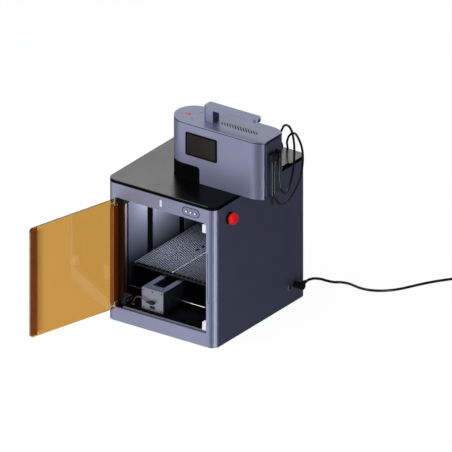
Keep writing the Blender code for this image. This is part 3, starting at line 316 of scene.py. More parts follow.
def noise(tree, scale, detail, stretch=(1, 1, 1)):
    """Noise in the object's own coordinates; scale is in grains a metre."""
    mapping = add_node(tree, "Mapping", own_place(tree), "Vector", Scale=stretch)
    grain = add_node(tree, "TexNoise", mapping.outputs["Vector"], "Vector", Scale=scale, Detail=detail)
    return grain.outputs["Fac"]


def ramp(tree, source, stops):
    """A colour that runs through stops of (place, colour) as the source runs from 0 to 1."""
    node = add_node(tree, "ValToRGB", source, "Fac")
    marks = node.color_ramp.elements
    for mark, (place, colour) in zip(marks, (stops[0], stops[-1])):
        mark.position = place
        mark.color = (*colour, 1.0)
    for place, colour in stops[1:-1]:
        marks.new(place).color = (*colour, 1.0)
    return node.outputs["Color"]


def spread(tree, source, low, high):
    """A number that runs from low to high as the source runs from 0.3 to 0.7."""
    node = add_node(tree, "MapRange", source, "Value", From_Min=0.3, From_Max=0.7, To_Min=low, To_Max=high)
    return node.outputs["Result"]


def bump(tree, shader, source, depth):
    """Surface relief of a depth in metres."""
    node = add_node(tree, "Bump", source, "Height", Strength=1.0, Distance=depth)
    tree.links.new(node.outputs["Normal"], shader.inputs["Normal"])


def tinted(colour, factor):
    """A colour made lighter or darker."""
    return tuple(min(1.0, part * factor) for part in colour)


def adjust(material, **values):
    """Set values on a material's shader."""
    set_values(material.node_tree.nodes["Principled BSDF"], values)
    return material


def textured(name, colour, roughness, metallic=0.0, grain=900.0, depth=0.00003, shift=0.06, rough_shift=0.05,
             stretch=(1, 1, 1), specular=0.5, glow=None, strength=0.0, **values):
    """A surface with fine grain, slow colour shifts and uneven gloss, which may glow."""
    material, tree, shader = start_material(name)
    slow = noise(tree, SLOW_GRAIN, 4.0)
    fine = noise(tree, grain, 2.0, stretch)
    base = ramp(tree, slow, ((0.35, tinted(colour, 1 - shift)), (0.65, tinted(colour, 1 + shift))))
    gloss = spread(tree, fine, roughness - rough_shift, roughness + rough_shift)
    tree.links.new(base, shader.inputs["Base Color"])
    tree.links.new(gloss, shader.inputs["Roughness"])
    bump(tree, shader, fine, depth)
    if glow:
        adjust(material, Emission_Color=(*glow, 1.0), Emission_Strength=strength)
    return adjust(material, Metallic=metallic, Specular_IOR_Level=specular, **values)


def fade_along(material, axis, start, end, stops):
    """Give a material a colour that runs through stops from start to end along an axis of the object."""
    tree = material.node_tree
    split = add_node(tree, "SeparateXYZ", own_place(tree), "Vector")
    reach = add_node(tree, "MapRange", split.outputs[axis], "Value", From_Min=start, From_Max=end)
    fade = ramp(tree, reach.outputs["Result"], stops)
    tree.links.new(fade, tree.nodes["Principled BSDF"].inputs["Base Color"])
    return material


def make_body_paint(name, shade):
    """Blue-violet grey satin powder coat with a fine metallic grain; a shade below 1 darkens it as painted shade.
    """
    return textured(name, tinted((0.230, 0.243, 0.375), shade), 0.40, 0.40, 1400.0, 0.000025, 0.03,
                    Coat_Weight=0.15, Coat_Roughness=0.3)


def make_liner_painted_shade(name, low, high):
    """Light satin sheet with painted shade: its colour darkens towards the floor of the cabinet."""
    material = textured(name, high, 0.42, 0.3, 1200.0, 0.00002, 0.03)
    return fade_along(material, "Z", *LINER_PAINTED_SHADE, ((0.0, low), (1.0, high)))


def make_foil(name, colour):
    """Dull foil, a little darker at the very front, with painted shade that darkens it towards the back."""
    material = textured(name, colour, 0.45, 0.0, 2500.0, 0.000005, 0.05, 0.06)
    stops = [(place, tinted(colour, share)) for place, share in FOIL_SHADE_STOPS]
    return fade_along(material, "Y", FOIL_FRONT, FOIL_BACK, stops)


def make_white_plastic_painted_glow(name, strength):
    """White satin plastic with a fine moulded grain and a painted glow that brightens it."""
    return textured(name, (0.92, 0.95, 1.0), 0.38, 0.0, 1500.0, 0.00002, 0.02,
                    glow=(0.82, 0.94, 1.12), strength=strength)


def make_hinge_ink_painted_glow(name, colour):
    """Brown ink at the hinge edge of the door, with a painted glow that stands in for the light that comes through
    it.
    """
    return textured(name, colour, 0.45, 0.0, 900.0, 0.00001, 0.1, specular=0.04, glow=colour, strength=0.75)


def make_amber():
    """Clear amber acrylic, with amber light in its shadow."""
    material, tree, shader = start_material("amber_acrylic")
    adjust(material, Base_Color=(0.575, 0.305, 0.064, 1.0), Transmission_Weight=1.0, IOR=1.49)
    smears = noise(tree, 30.0, 3.0)
    tree.links.new(spread(tree, smears, 0.02, 0.06), shader.inputs["Roughness"])
    stain = tree.nodes.new("ShaderNodeBsdfTransparent")
    stain.inputs["Color"].default_value = (0.80, 0.60, 0.47, 1.0)
    path = tree.nodes.new("ShaderNodeLightPath")
    mix = tree.nodes.new("ShaderNodeMixShader")
    tree.links.new(path.outputs["Is Shadow Ray"], mix.inputs[0])
    tree.links.new(shader.outputs["BSDF"], mix.inputs[1])
    tree.links.new(stain.outputs["BSDF"], mix.inputs[2])
    tree.links.new(mix.outputs["Shader"], tree.nodes["Material Output"].inputs["Surface"])
    return material


def keep(name, *look, **values):
    """Make a textured finish for a slot of the CAD model."""
    FINISHES[name] = textured(name, *look, **values)


# Finishes of the CAD model's slots
FINISHES = {"body_paint": make_body_paint("body_paint", 1.0), "amber_acrylic": make_amber(),
            "liner": make_liner_painted_shade("liner", (0.012, 0.013, 0.018), (0.60, 0.63, 0.80)),
            # White plastic glows a little: painted light
            "white_plastic": make_white_plastic_painted_glow("white_plastic", 0.19),
            "honeycomb": make_foil("honeycomb", (0.148, 0.152, 0.186))}
keep("black_gloss", (0.0035, 0.0035, 0.004), 0.24, 0.0, 9.0, 0.0, 0.15, 0.04, specular=0.015)
keep("black_plastic", (0.009, 0.009, 0.011), 0.55, 0.0, 1600.0, 0.00005, 0.2, 0.08, specular=0.22)
keep("black_rubber", (0.016, 0.016, 0.017), 0.50, 0.0, 700.0, 0.00003, 0.25, 0.1)
keep("status_light", (0.30, 0.40, 0.45), 0.35, 0.0, 900.0, 0.00001, 0.02,
     glow=(0.72, 0.96, 1.0), strength=0.50)
# The red glows a little: painted light that brightens the stop button and the indicator lens
keep("stop_red", (0.95, 0.006, 0.008), 0.45, 0.0, 1500.0, 0.00002, 0.04, specular=0.25,
     glow=(1.0, 0.008, 0.012), strength=0.38)
keep("screen_glass", (0.0180, 0.0178, 0.0160), 0.16, 0.0, 12.0, 0.0, 0.1, 0.03, specular=0.10)
keep("alloy", (0.20, 0.21, 0.27), 0.38, 0.55, 500.0, 0.00001, 0.04, 0.06, stretch=(0.05, 1, 1))
keep("dark_alloy", (0.105, 0.108, 0.155), 0.42, 0.55, 600.0, 0.00001, 0.08, 0.06, stretch=(1, 0.05, 1))
keep("steel", (0.62, 0.62, 0.64), 0.26, 1.0, 700.0, 0.00001, 0.04, 0.06, stretch=(1, 1, 0.05))

# Finishes of pieces that look other than their slot
# Body paint darkened by a tenth for the button panel and buttons: painted shade
PANEL_SHADED_PAINT = make_body_paint("panel_shaded_paint", 0.90)
# The pale trim darkens towards the floor like the liners: painted shade
PALE_TRIM_SHADED = make_liner_painted_shade("pale_trim_shaded", (0.10, 0.08, 0.08), (1.0, 0.80, 0.80))
# White plastic for the button marks, glowing brightly: painted light
BUTTON_PAINTED_GLOW = make_white_plastic_painted_glow("button_painted_glow", 0.75)
# Near-black foil for the cells' walls: painted shade inside the cells
CELL_PAINTED_SHADE = make_foil("cell_painted_shade", (0.010, 0.0103, 0.0135))
# The hinge inks glow: painted light in place of the light through the door
HINGE_INK = make_hinge_ink_painted_glow("hinge_ink", (0.045, 0.0080, 0.0003))
HINGE_BROWN = make_hinge_ink_painted_glow("hinge_brown", (0.152, 0.042, 0.0055))
HINGE_SPOT = make_hinge_ink_painted_glow("hinge_spot", (0.30, 0.128, 0.046))
PRINT_INK = textured("print_ink", (0.27, 0.10, 0.018), 0.30, 0.0, 1200.0, 0.00001, 0.06,
                     Transmission_Weight=1.0, IOR=1.2)
EDGE_AMBER = textured("edge_amber", (0.50, 0.27, 0.15), 0.40, 0.0, 900.0, 0.00002, 0.08)
SEAL_BROWN = textured("seal_brown", (0.040, 0.0092, 0.0006), 0.55, 0.0, 900.0, 0.00002, 0.1, specular=0.05)
FLOOR_BLACK = textured("floor_black", (0.0012, 0.0012, 0.0016), 0.40, 0.0, 900.0, 0.00001, 0.2, specular=0.05)
RIM_BLACK = textured("rim_black", (0.003, 0.003, 0.004), 0.5, 0.0, 12.0, 0.0, 0.1, 0.03, specular=0.02)
CABLE_BLACK = textured("cable_black", (0.006, 0.006, 0.007), 0.26, 0.0, 900.0, 0.00001, 0.2, 0.04,
                       specular=0.6)
LEAD_OLIVE = textured("lead_olive", (0.055, 0.047, 0.026), 0.45, 0.0, 1500.0, 0.00002, 0.15)
SEAM_BRIGHT = textured("seam_bright", (0.62, 0.64, 0.74), 0.35, 0.2, 900.0, 0.00001, 0.04)
# Grey for the strip on the lid's front edge: a painted highlight
LID_HIGHLIGHT_PAINT = textured("lid_highlight_paint", (0.085, 0.085, 0.080), 0.30, 0.0, 900.0, 0.00001, 0.1)


def dress_nodes():
    """Give each CAD node the finish of its slot."""
    for subpart in frame["record"]["subparts"]:
        node = NODES[subpart["node"]]
        node.data.materials.clear()
        node.data.materials.append(FINISHES[subpart["material_slot"]])
    NODES["floor_tray"].data.materials[0] = FLOOR_BLACK
    # The button panel and buttons take the darker copy of the body paint: painted shade
    for name in ("panel", *BUTTONS):
        NODES[f"button_{name}"].data.materials[0] = PANEL_SHADED_PAINT
    NODES["estop_cap"].visible_glossy = False
    NODES["estop_cap"].visible_diffuse = False


def piece(name, shape, slot, body="cabinet", material=None):
    """A finished mesh piece that rides on a body."""
    bmesh.ops.recalc_face_normals(shape, faces=shape.faces)
    mesh = bpy.data.meshes.new(name)
    shape.to_mesh(mesh)
    shape.free()
    mesh.materials.append(material or FINISHES[slot])
    mesh.shade_smooth()
    mesh.set_sharp_from_angle(angle=SHARP)
    item = bpy.data.objects.new(name, mesh)
    SCENE.collection.objects.link(item)
    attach(item, body)
    return item


def add_block(shape, low, high, edge, seat=Matrix.Identity(4)):
    """A block between two corners with rounded edges."""
    low = Vector(low)
    high = Vector(high)
    size = Matrix.Diagonal((*(high - low), 1.0))
    made = bmesh.ops.create_cube(shape, size=1.0, matrix=Matrix.Translation((low + high) / 2) @ size)
    edges = list({line for corner in made["verts"] for line in corner.link_edges})
    made = bmesh.ops.bevel(shape, geom=edges, offset=edge, offset_type="OFFSET", segments=2, profile=0.5,
                           affect="EDGES")
    corners = list({corner for face in made["faces"] for corner in face.verts})
    bmesh.ops.transform(shape, matrix=seat, verts=corners)


def add_turned(shape, profile, seat, sides):
    """A profile of (radius, height, flats) points turned about +Z and set in its seat; flats 0 is round."""
    rings = []
    for radius, height, flats in profile:
        ring = []
        for number in range(sides if radius else 1):
            angle = 2 * math.pi * number / sides
            reach = radius
            if flats:
                half = math.pi / flats
                reach = radius * math.cos(half) / math.cos(angle % (2 * half) - half)
            spot = Vector((reach * math.cos(angle), reach * math.sin(angle), height))
            ring.append(shape.verts.new(seat @ spot))
        rings.append(ring)
    for lower, upper in zip(rings, rings[1:]):
        for number in range(sides):
            quad = (lower[number % len(lower)], lower[(number + 1) % len(lower)],
                    upper[(number + 1) % len(upper)], upper[number % len(upper)])
            shape.faces.new(tuple(dict.fromkeys(quad)))


def facing(point, axis):
    """A seat at a point whose +Z points along an axis."""
    turn = Vector(axis).to_track_quat("Z", "Y").to_matrix().to_4x4()
    return Matrix.Translation(point) @ turn


def front_seat(x, y, z):
    """A seat for what is drawn upright on a face that looks forward."""
    return Matrix(((1, 0, 0, x), (0, 0, -1, y), (0, 1, 0, z), (0, 0, 0, 1)))


def single(name, slot, add, *form, body="cabinet", material=None):
    """A piece of one form, which the function add puts in its shape."""
    shape = bmesh.new()
    add(shape, *form)
    piece(name, shape, slot, body, material)


def block_piece(name, slot, low, high, edge, body="cabinet", material=None, seat=Matrix.Identity(4)):
    """A piece that is one block."""
    single(name, slot, add_block, low, high, edge, seat, body=body, material=material)


def screw_piece(name, slot, spots, axis, size, body="cabinet"):
    """A piece of like socket-head screws that sit on a surface."""
    radius, tall = size
    profile = ((0.0, 0.0, 0), (radius, 0.0, 0), (radius, 0.6 * tall, 0), (0.82 * radius, tall, 0),
               (0.56 * radius, tall, 6), (0.52 * radius, 0.35 * tall, 6), (0.0, 0.3 * tall, 0))
    shape = bmesh.new()
    for spot in spots:
        add_turned(shape, profile, facing(spot, axis), SCREW_SIDES)
    piece(name, shape, slot, body)


def add_band(shape, row, following):
    """The faces between two closed rows with as many points as each other."""
    for number in range(len(row)):
        after = (number + 1) % len(row)
        shape.faces.new((row[number], row[after], following[after], following[number]))


def add_prism(shape, outline, depth, seat):
    """A flat outline extruded along its seat's +Z."""
    low = [shape.verts.new(seat @ Vector((across, up, 0.0))) for across, up in outline]
    high = [shape.verts.new(seat @ Vector((across, up, depth))) for across, up in outline]
    shape.faces.new(low[::-1])
    shape.faces.new(high)
    add_band(shape, low, high)


def add_ring(shape, outer, inner, depth, seat):
    """The band between two outlines with as many points as each other, extruded along its seat's +Z."""
    rows = [[shape.verts.new(seat @ Vector((*spot, height))) for spot in outline]
            for outline, height in ((outer, 0.0), (outer, depth), (inner, depth), (inner, 0.0))]
    for row, following in zip(rows, rows[1:] + rows[:1]):
        add_band(shape, row, following)


def rounded(width, height, radius):
    """A centred rectangle with round corners."""
    points = []
    for quarter, (side_x, side_y) in enumerate(((1, 1), (-1, 1), (-1, -1), (1, -1))):
        for step in range(CORNER_STEPS + 1):
            angle = math.pi / 2 * (quarter + step / CORNER_STEPS)
            points.append((side_x * (width / 2 - radius) + radius * math.cos(angle),
                           side_y * (height / 2 - radius) + radius * math.sin(angle)))
    return points


def circle(radius, sides=ROUND_SIDES):
    """A centred circle."""
    return [(radius * math.cos(2 * math.pi * number / sides), radius * math.sin(2 * math.pi * number / sides))
            for number in range(sides)]


def vectors(points):
    """Points written in millimetres, as vectors in metres."""
    return [Vector(point) / 1000 for point in points]


def smooth_route(points, step):
    """Points read at an even step from a smooth curve through a route's own points."""
    ends = [points[0] * 2 - points[1]] + points + [points[-1] * 2 - points[-2]]
    fine = []
    for index in range(1, len(ends) - 2):
        before, first, second, after = ends[index - 1:index + 3]
        for part in range(ROUTE_PARTS):
            t = part / ROUTE_PARTS
            fine.append(0.5 * (2 * first + (second - before) * t
                               + (2 * before - 5 * first + 4 * second - after) * t ** 2
                               + (3 * first - before - 3 * second + after) * t ** 3))
    fine.append(points[-1])
    lengths = [0.0]
    for first, second in zip(fine, fine[1:]):
        lengths.append(lengths[-1] + (second - first).length)
    count = max(2, round(lengths[-1] / step))
    route = []
    index = 0
    for number in range(count + 1):
        wanted = lengths[-1] * number / count
        while index < len(fine) - 2 and lengths[index + 1] < wanted:
            index += 1
        share = (wanted - lengths[index]) / (lengths[index + 1] - lengths[index])
        route.append(fine[index].lerp(fine[index + 1], min(1.0, share)))
    return route


def cable_route(first, heading_out, route, last, heading_in, radius):
    """A route that leaves its first fitting and meets its last one square, and is smooth between."""
    lead = CABLE_LEAD * radius
    points = [first + heading_out * lead] + vectors(route) + [last - heading_in * lead]
    return [first] + smooth_route(points, CABLE_STEP * radius) + [last]


def tube(name, points, radius, material):
    """A round cable along a list of points."""
    curve = bpy.data.curves.new(name, "CURVE")
    curve.dimensions = "3D"
    curve.bevel_depth = radius
    curve.bevel_resolution = 4
    curve.use_fill_caps = True
    spline = curve.splines.new("POLY")
    spline.points.add(len(points) - 1)
    for point, spot in zip(spline.points, points):
        point.co = (*spot, 1.0)
    spline.use_smooth = True
    curve.materials.append(material)
    item = bpy.data.objects.new(name, curve)
    SCENE.collection.objects.link(item)
    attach(item, "cabinet")
    return item


def add_looking(name, data, place, heading):
    """A camera or light that looks from a place along a heading."""
    item = bpy.data.objects.new(name, data)
    SCENE.collection.objects.link(item)
    item.location = place
    item.rotation_mode = "QUATERNION"
    item.rotation_quaternion = heading.to_track_quat("-Z", "Y")
    return item


def make_camera():
    """An orthographic camera at the photograph's angle."""
    data = bpy.data.cameras.new("camera")
    data.type = "ORTHO"
    data.ortho_scale = VIEW_WIDTH
    data.clip_end = VIEW_END
    level = math.cos(VIEW_ELEVATION)
    back = Vector((math.sin(VIEW_AZIMUTH) * level, -math.cos(VIEW_AZIMUTH) * level, math.sin(VIEW_ELEVATION)))
    SCENE.camera = add_looking("camera", data, VIEW_TARGET + back * VIEW_DISTANCE, -back)


def area_light(name, place, target, size, power):
    """A soft light box that faces a target."""
    data = bpy.data.lights.new(name, "AREA")
    data.shape = "RECTANGLE"
    data.size, data.size_y = size
    data.energy = power
    return add_looking(name, data, place, Vector(target) - Vector(place))


def make_floor():
    """A pale floor that stays near white and sends no light back at the object."""
    material = adjust(start_material("floor_white")[0], Base_Color=(0.10, 0.10, 0.10, 1.0), Roughness=0.9,
                      Emission_Color=(1.0, 1.0, 1.0, 1.0), Emission_Strength=0.96)
    shape = bmesh.new()
    bmesh.ops.create_grid(shape, x_segments=1, y_segments=1, size=FLOOR_SIZE)
    mesh = bpy.data.meshes.new("floor")
    shape.to_mesh(mesh)
    shape.free()
    mesh.materials.append(material)
    floor = bpy.data.objects.new("floor", mesh)
    SCENE.collection.objects.link(floor)
    floor.location.z = -GAP
    floor.visible_diffuse = False
    floor.visible_glossy = False
    floor.visible_shadow = False


def make_studio():
    """Floor, soft lights, cards that only show in reflections, and a dim white surround."""
    make_floor()
    lights = {name: area_light(name, *setting) for name, setting in LIGHTS.items()}
    shell_group = bpy.data.collections.new("shell_group")
    shell_group.objects.link(NODES["body_shell"])
    shell_group.collection_objects[0].light_linking.link_state = "EXCLUDE"
    for name in ("inside", "inside_deep"):
        lights[name].data.color = INSIDE_TINT
        lights[name].light_linking.receiver_collection = shell_group
    lights["inside_deep"].data.spread = DEEP_SPREAD
    for name in ("front_card", "corner_card", "cap_card"):
        lights[name].visible_diffuse = False
        lights[name].visible_camera = False
    lid_group = bpy.data.collections.new("lid_group")
    lid_group.objects.link(NODES["lid"])
    lights["lid_sheen"].light_linking.receiver_collection = lid_group
    world = bpy.data.worlds.new("studio")
    world.use_nodes = True
    shade = world.node_tree.nodes["Background"]
    shade.inputs["Color"].default_value = SURROUND
    shade.inputs["Strength"].default_value = SURROUND_STRENGTH
    SCENE.world = world
    SCENE.view_settings.view_transform = "Standard"


def make_head_cables():
    """The two cables from the head's elbow connectors to the gland on the back, each with two boots."""
    gland_low, gland_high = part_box("cable_gland")
    gland = (gland_low + gland_high) / 2
    for name, side, route in (("inner", 1, INNER_ROUTE), ("outer", -1, OUTER_ROUTE)):
        low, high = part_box(f"connector_{name}")
        first = Vector((high.x - ELBOW_RADIUS, (low.y + high.y) / 2, low.z - GAP))
        last = Vector((gland.x - side * GLAND_PITCH / 2, gland.y, gland_high.z + GAP))
        points = cable_route(first, DOWN, route, last, DOWN, HEAD_CABLE_RADIUS)
        cable = tube(f"head_lead_{name}", points, HEAD_CABLE_RADIUS, CABLE_BLACK)
        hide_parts(f"head_cable_{name}")
        shape = bmesh.new()
        add_boot(shape, first, DOWN, HEAD_CABLE_RADIUS, HEAD_BOOT)
        add_boot(shape, last, -DOWN, HEAD_CABLE_RADIUS, GLAND_BOOT)
        piece(f"cable_boots_{name}", shape, "black_rubber")


def make_service_lead():
    """A short lead that hangs from the head's end plate and ends in a loose connector."""
    low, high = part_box("connector_outer")
    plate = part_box("head_end_plate")[1].x
    y = (low.y + high.y) / 2 - SERVICE_PITCH
    block_piece("service_socket", "black_plastic", (plate + GAP / 3, y - SERVICE_HALF, low.z),
                (high.x, y + SERVICE_HALF, high.z - 2 * SERVICE_EDGE), SERVICE_EDGE)
    first = Vector((high.x - ELBOW_RADIUS, y, low.z - GAP))
    last = Vector((first.x, y, SERVICE_END))
    seat = facing(last + DOWN * GAP, DOWN)
    single("service_plug", "black_plastic", add_turned, SERVICE_PLUG, seat, SMALL_SIDES)
    points = cable_route(first, DOWN, SERVICE_ROUTE, last, DOWN, HEAD_CABLE_RADIUS)
    lead = tube("service_lead", points, HEAD_CABLE_RADIUS, CABLE_BLACK)


def add_boot(shape, point, axis, bore, size):
    """A ribbed strain relief that narrows along the cable it holds."""
    radius, length = size
    slim = bore + BOOT_WALL
    pitch = BOOT_RIBBED * length / BOOT_RIBS
    profile = [(bore, 0.0, 0), (radius, 0.0, 0)]
    for rib in range(BOOT_RIBS):
        low = BOOT_COLLAR * length + pitch * rib
        high = low + pitch * BOOT_RIB
        wide = radius + (slim - radius) * rib / BOOT_RIBS
        neck = wide - BOOT_WALL
        profile += [(wide, low, 0), (wide, high, 0), (neck, high, 0), (neck, low + pitch, 0)]
    profile += [(slim, length, 0), (bore, length, 0), (bore, 0.0, 0)]
    add_turned(shape, profile, facing(point, axis), SMALL_SIDES)
    bmesh.ops.remove_doubles(shape, verts=shape.verts[:], dist=MERGE)


def coil_points():
    """One unbroken lead: spiral in, climb a layer in the half turn where it reverses, and spiral out."""
    outer = COIL_MIDDLE_RADIUS + COIL_STEP * COIL_TURNS_PER_LAYER / 2
    heading = COIL_HEADING
    to_centre = Vector((heading.y, -heading.x, 0))
    start = Vector((*COIL_START, CORD_REST))
    centre = start + to_centre * outer
    turns = 2 * COIL_TURNS_PER_LAYER + 0.5
    points = []
    for number in range(round(turns * COIL_POINTS_PER_TURN) + 1):
        turn = number / COIL_POINTS_PER_TURN
        inward = min(turn, turns - turn)
        radius = outer - COIL_STEP * inward
        climb = min(1.0, max(0.0, (turn - COIL_TURNS_PER_LAYER) / 0.5))
        spoke = Matrix.Rotation(-2 * math.pi * turn, 3, "Z") @ -to_centre
        points.append(centre + spoke * radius + Vector((0, 0, COIL_STEP * climb)))
    straight = (points[-1] - points[-2]).normalized() * 2 * CORD_RADIUS
    straight.z = 0
    return [start - heading * 2 * CORD_RADIUS] + points + [points[-1] + straight], centre


def make_cord_tie(centre):
    """A strap round all the turns of the coil, on the side away from the plug."""
    outer = COIL_MIDDLE_RADIUS + COIL_STEP * COIL_TURNS_PER_LAYER / 2 + CORD_RADIUS
    inner = outer - COIL_STEP * (COIL_TURNS_PER_LAYER + 0.25) - 2 * CORD_RADIUS
    height = CORD_REST + COIL_STEP + CORD_RADIUS
    middle = (outer + inner) / 2
    outlines = []
    for room, low, high in ((TIE_ROOM + TIE_THICKNESS, TIE_FLOOR, height + TIE_ROOM + TIE_THICKNESS),
                            (TIE_ROOM, 2 * TIE_FLOOR, height + TIE_ROOM)):
        loop = rounded(outer - inner + 2 * room, high - low, TIE_CORNER)
        outlines.append([(middle + x, (low + high) / 2 + y) for x, y in loop])
    up = Vector((0, 0, 1))
    along = COIL_HEADING.cross(up)
    start = Vector((centre.x, centre.y, 0)) - along * TIE_WIDTH / 2
    seat = Matrix.Translation(start) @ Matrix((COIL_HEADING, up, along)).transposed().to_4x4()
    single("cord_tie", "black_rubber", add_ring, *outlines, TIE_WIDTH, seat)


def make_plug_pins(end, heading):
    """Two round pins on the plug's face."""
    across = heading.cross(Vector((0, 0, 1))) * PIN_SPACING / 2
    face = end + heading * PLUG_REACH
    shape = bmesh.new()
    for side in (-1, 1):
        add_turned(shape, PIN, facing(face + across * side, heading), SMALL_SIDES)
    piece("plug_pins", shape, "steel")


def make_power_lead():
    """The power lead from its gland to its plug, with its coil and the tie round it."""
    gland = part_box("power_gland")[1]
    first = Vector(((CABINET_X + gland.x) / 2, gland.y + GAP, POWER_EXIT_Z))
    coil, centre = coil_points()
    last = coil[0] - COIL_HEADING * GAP
    points = cable_route(first, BACKWARD, POWER_ROUTE, last, COIL_HEADING, CORD_RADIUS) + coil
    lead = tube("power_lead", points, CORD_RADIUS, CABLE_BLACK)
    make_cord_tie(centre)
    make_plug_pins(points[-1], (points[-1] - points[-2]).normalized())
    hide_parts("power_cord", "power_cord_coil")


def make_honeycomb():
    """Open hexagonal cells in place of the solid core, their walls darkened as painted shade, with rails, a seam
    and two dark slots.
    """
    low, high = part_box("honeycomb_core")
    reach = CELL_PITCH / math.sqrt(3)
    column_step = 1.5 * reach
    columns = int((high.x - low.x - 2 * RAIL_WIDTH - 2 * reach) / column_step) + 1
    rows = int((high.y - low.y) / CELL_PITCH - 0.5)
    start_x = (low.x + high.x - (columns - 1) * column_step) / 2
    start_y = (low.y + high.y - (rows - 0.5) * CELL_PITCH) / 2 + CELL_SHIFT
    corners = {}
    shape = bmesh.new()
    for column in range(columns):
        for row in range(rows):
            middle_x = start_x + column * column_step
            middle_y = start_y + (row + column % 2 / 2) * CELL_PITCH
            ring = []
            for number in range(6):
                x = middle_x + reach * math.cos(math.pi * number / 3)
                y = middle_y + reach * math.sin(math.pi * number / 3)
                key = (round(2 * (x - start_x) / reach), round(2 * (y - start_y) / CELL_PITCH))
                if key not in corners:
                    corners[key] = shape.verts.new((x, y, low.z))
                ring.append(corners[key])
            shape.faces.new(ring)
    shape.normal_update()
    cells = shape.faces[:]
    bmesh.ops.inset_individual(shape, faces=cells, thickness=CELL_WALL / 2, use_even_offset=True)
    bmesh.ops.delete(shape, geom=cells, context="FACES")
    made = bmesh.ops.extrude_face_region(shape, geom=shape.faces[:], use_keep_orig=True)
    lifted = [item for item in made["geom"] if isinstance(item, bmesh.types.BMVert)]
    bmesh.ops.translate(shape, verts=lifted, vec=(0, 0, high.z - low.z))
    # Upright faces, the cells' walls, take the second material: painted shade
    for face in shape.faces:
        heights = [vert.co.z for vert in face.verts]
        upright = max(heights) - min(heights) > SKIN
        face.material_index = int(upright)
    cells = piece("honeycomb_cells", shape, "honeycomb", "bed")
    cells.data.materials.append(CELL_PAINTED_SHADE)
    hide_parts("honeycomb_core")
    shape = bmesh.new()
    for left in (low.x, high.x - RAIL_WIDTH):
        add_block(shape, (left, low.y, low.z), (left + RAIL_WIDTH, high.y, high.z + GAP), RAIL_EDGE)
    piece("bed_rails", shape, "dark_alloy", "bed")
    slide_x = sum(corner.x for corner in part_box("slide_body")) / 2
    half = BED_SEAM_WIDTH / 2
    block_piece("bed_seam", "alloy", (slide_x - half, low.y + CELL_PITCH / 2, low.z),
                (slide_x + half, high.y - CELL_PITCH / 2, high.z + GAP), BED_SEAM_EDGE, "bed", SEAM_BRIGHT)
    shape = bmesh.new()
    for offset in BED_SLOT_Y:
        seat = Matrix.Translation((slide_x + BED_SLOT_X, low.y + offset, low.z))
        add_prism(shape, rounded(*BED_SLOT, BED_SLOT_CORNER), high.z - low.z + 3 * GAP, seat)
    piece("bed_slots", shape, "black_plastic", "bed", FLOOR_BLACK)


def make_linings():
    """Black sheets on the inner walls, with the light trim, whose colour darkens towards the floor as painted
    shade, and the brown seal by the hinge.
    """
    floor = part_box("floor_tray")[1].z + GAP
    post_low, post_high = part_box("hinge_post")
    fan_low, fan_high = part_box("fan_frame")
    shape = bmesh.new()
    for left in (LINING_GAP - INNER_X, INNER_X - LINING_GAP - LINING):
        add_block(shape, (left, post_high.y, floor), (left + LINING, INNER_Y - INNER_CORNER, LINING_TOP),
                  LINING / 4)
    width = INNER_X - INNER_CORNER
    outer = [(-width, floor), (width, floor), (width, LINING_TOP), (-width, LINING_TOP)]
    hole = [(fan_low.x, fan_low.z), (fan_high.x, fan_low.z), (fan_high.x, fan_high.z),
            (fan_low.x, fan_high.z)]
    add_ring(shape, outer, hole, LINING, front_seat(0, INNER_Y - LINING_GAP, 0))
    piece("wall_linings", shape, "black_plastic", material=FLOOR_BLACK)
    left = GAP - INNER_X
    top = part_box("liner_front")[1].z
    block_piece("liner_trim", "liner", (left, TRIM_FRONT, floor), (left + TRIM_THICKNESS, TRIM_BACK, top),
                TRIM_EDGE, material=PALE_TRIM_SHADED)
    front = post_low.y - SEAL_THICKNESS - GAP
    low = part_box("hinge_block_bottom")[1].z
    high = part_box("hinge_block_top")[0].z
    block_piece("hinge_seal", "black_rubber", (GAP - OPENING_HALF, front, low),
                (SEAL_WIDTH - OPENING_HALF, front + SEAL_THICKNESS, high), TRIM_EDGE, material=SEAL_BROWN)


def on_door():
    """The seat that swings what is drawn on the shut door to where the door stands open."""
    pivot = Vector(JOINTS["door_swing"]["pos_m"])
    return Matrix.Translation(pivot) @ Matrix.Rotation(-DOOR_OPEN, 4, "Z") @ Matrix.Translation(-pivot)


def add_dots(shape, start, width, low, high, radii, seat):
    """Staggered columns of dots that run towards -X, and from the first radius to the second."""
    columns = int(width / PRINT_PITCH)
    for column in range(columns):
        radius = radii[0] + (radii[1] - radii[0]) * column / (columns - 1)
        x = start - (column + 0.5) * PRINT_PITCH
        for row in range(int((high - low) / PRINT_PITCH - 0.5)):
            y = low + (row + 0.5 + column % 2 / 2) * PRINT_PITCH
            add_prism(shape, [(x + across, y + up) for across, up in circle(radius, DOT_SIDES)], SKIN, seat)


def make_door_print():
    """The dark edge band on the door's outer face, with dots that fade inwards."""
    seat = on_door() @ front_seat(0, DOOR_FRONT, 0)
    shape = bmesh.new()
    band = rounded(2 * PRINT_BAND, DOOR_HIGH - DOOR_LOW - 2 * PRINT_EDGE, PRINT_CORNER)
    start = DOOR_RIGHT - PRINT_EDGE - PRINT_BAND
    middle = (DOOR_HIGH + DOOR_LOW) / 2
    outline = [(start + max(0.0, x), middle + y) for x, y in band]
    add_prism(shape, list(dict.fromkeys(outline)), SKIN, seat)
    add_dots(shape, start, PRINT_FADE, DOOR_LOW + PRINT_CORNER, DOOR_HIGH - PRINT_CORNER,
             (PRINT_LARGEST, PRINT_SMALLEST), seat)
    piece("door_print", shape, "amber_acrylic", "door", PRINT_INK)


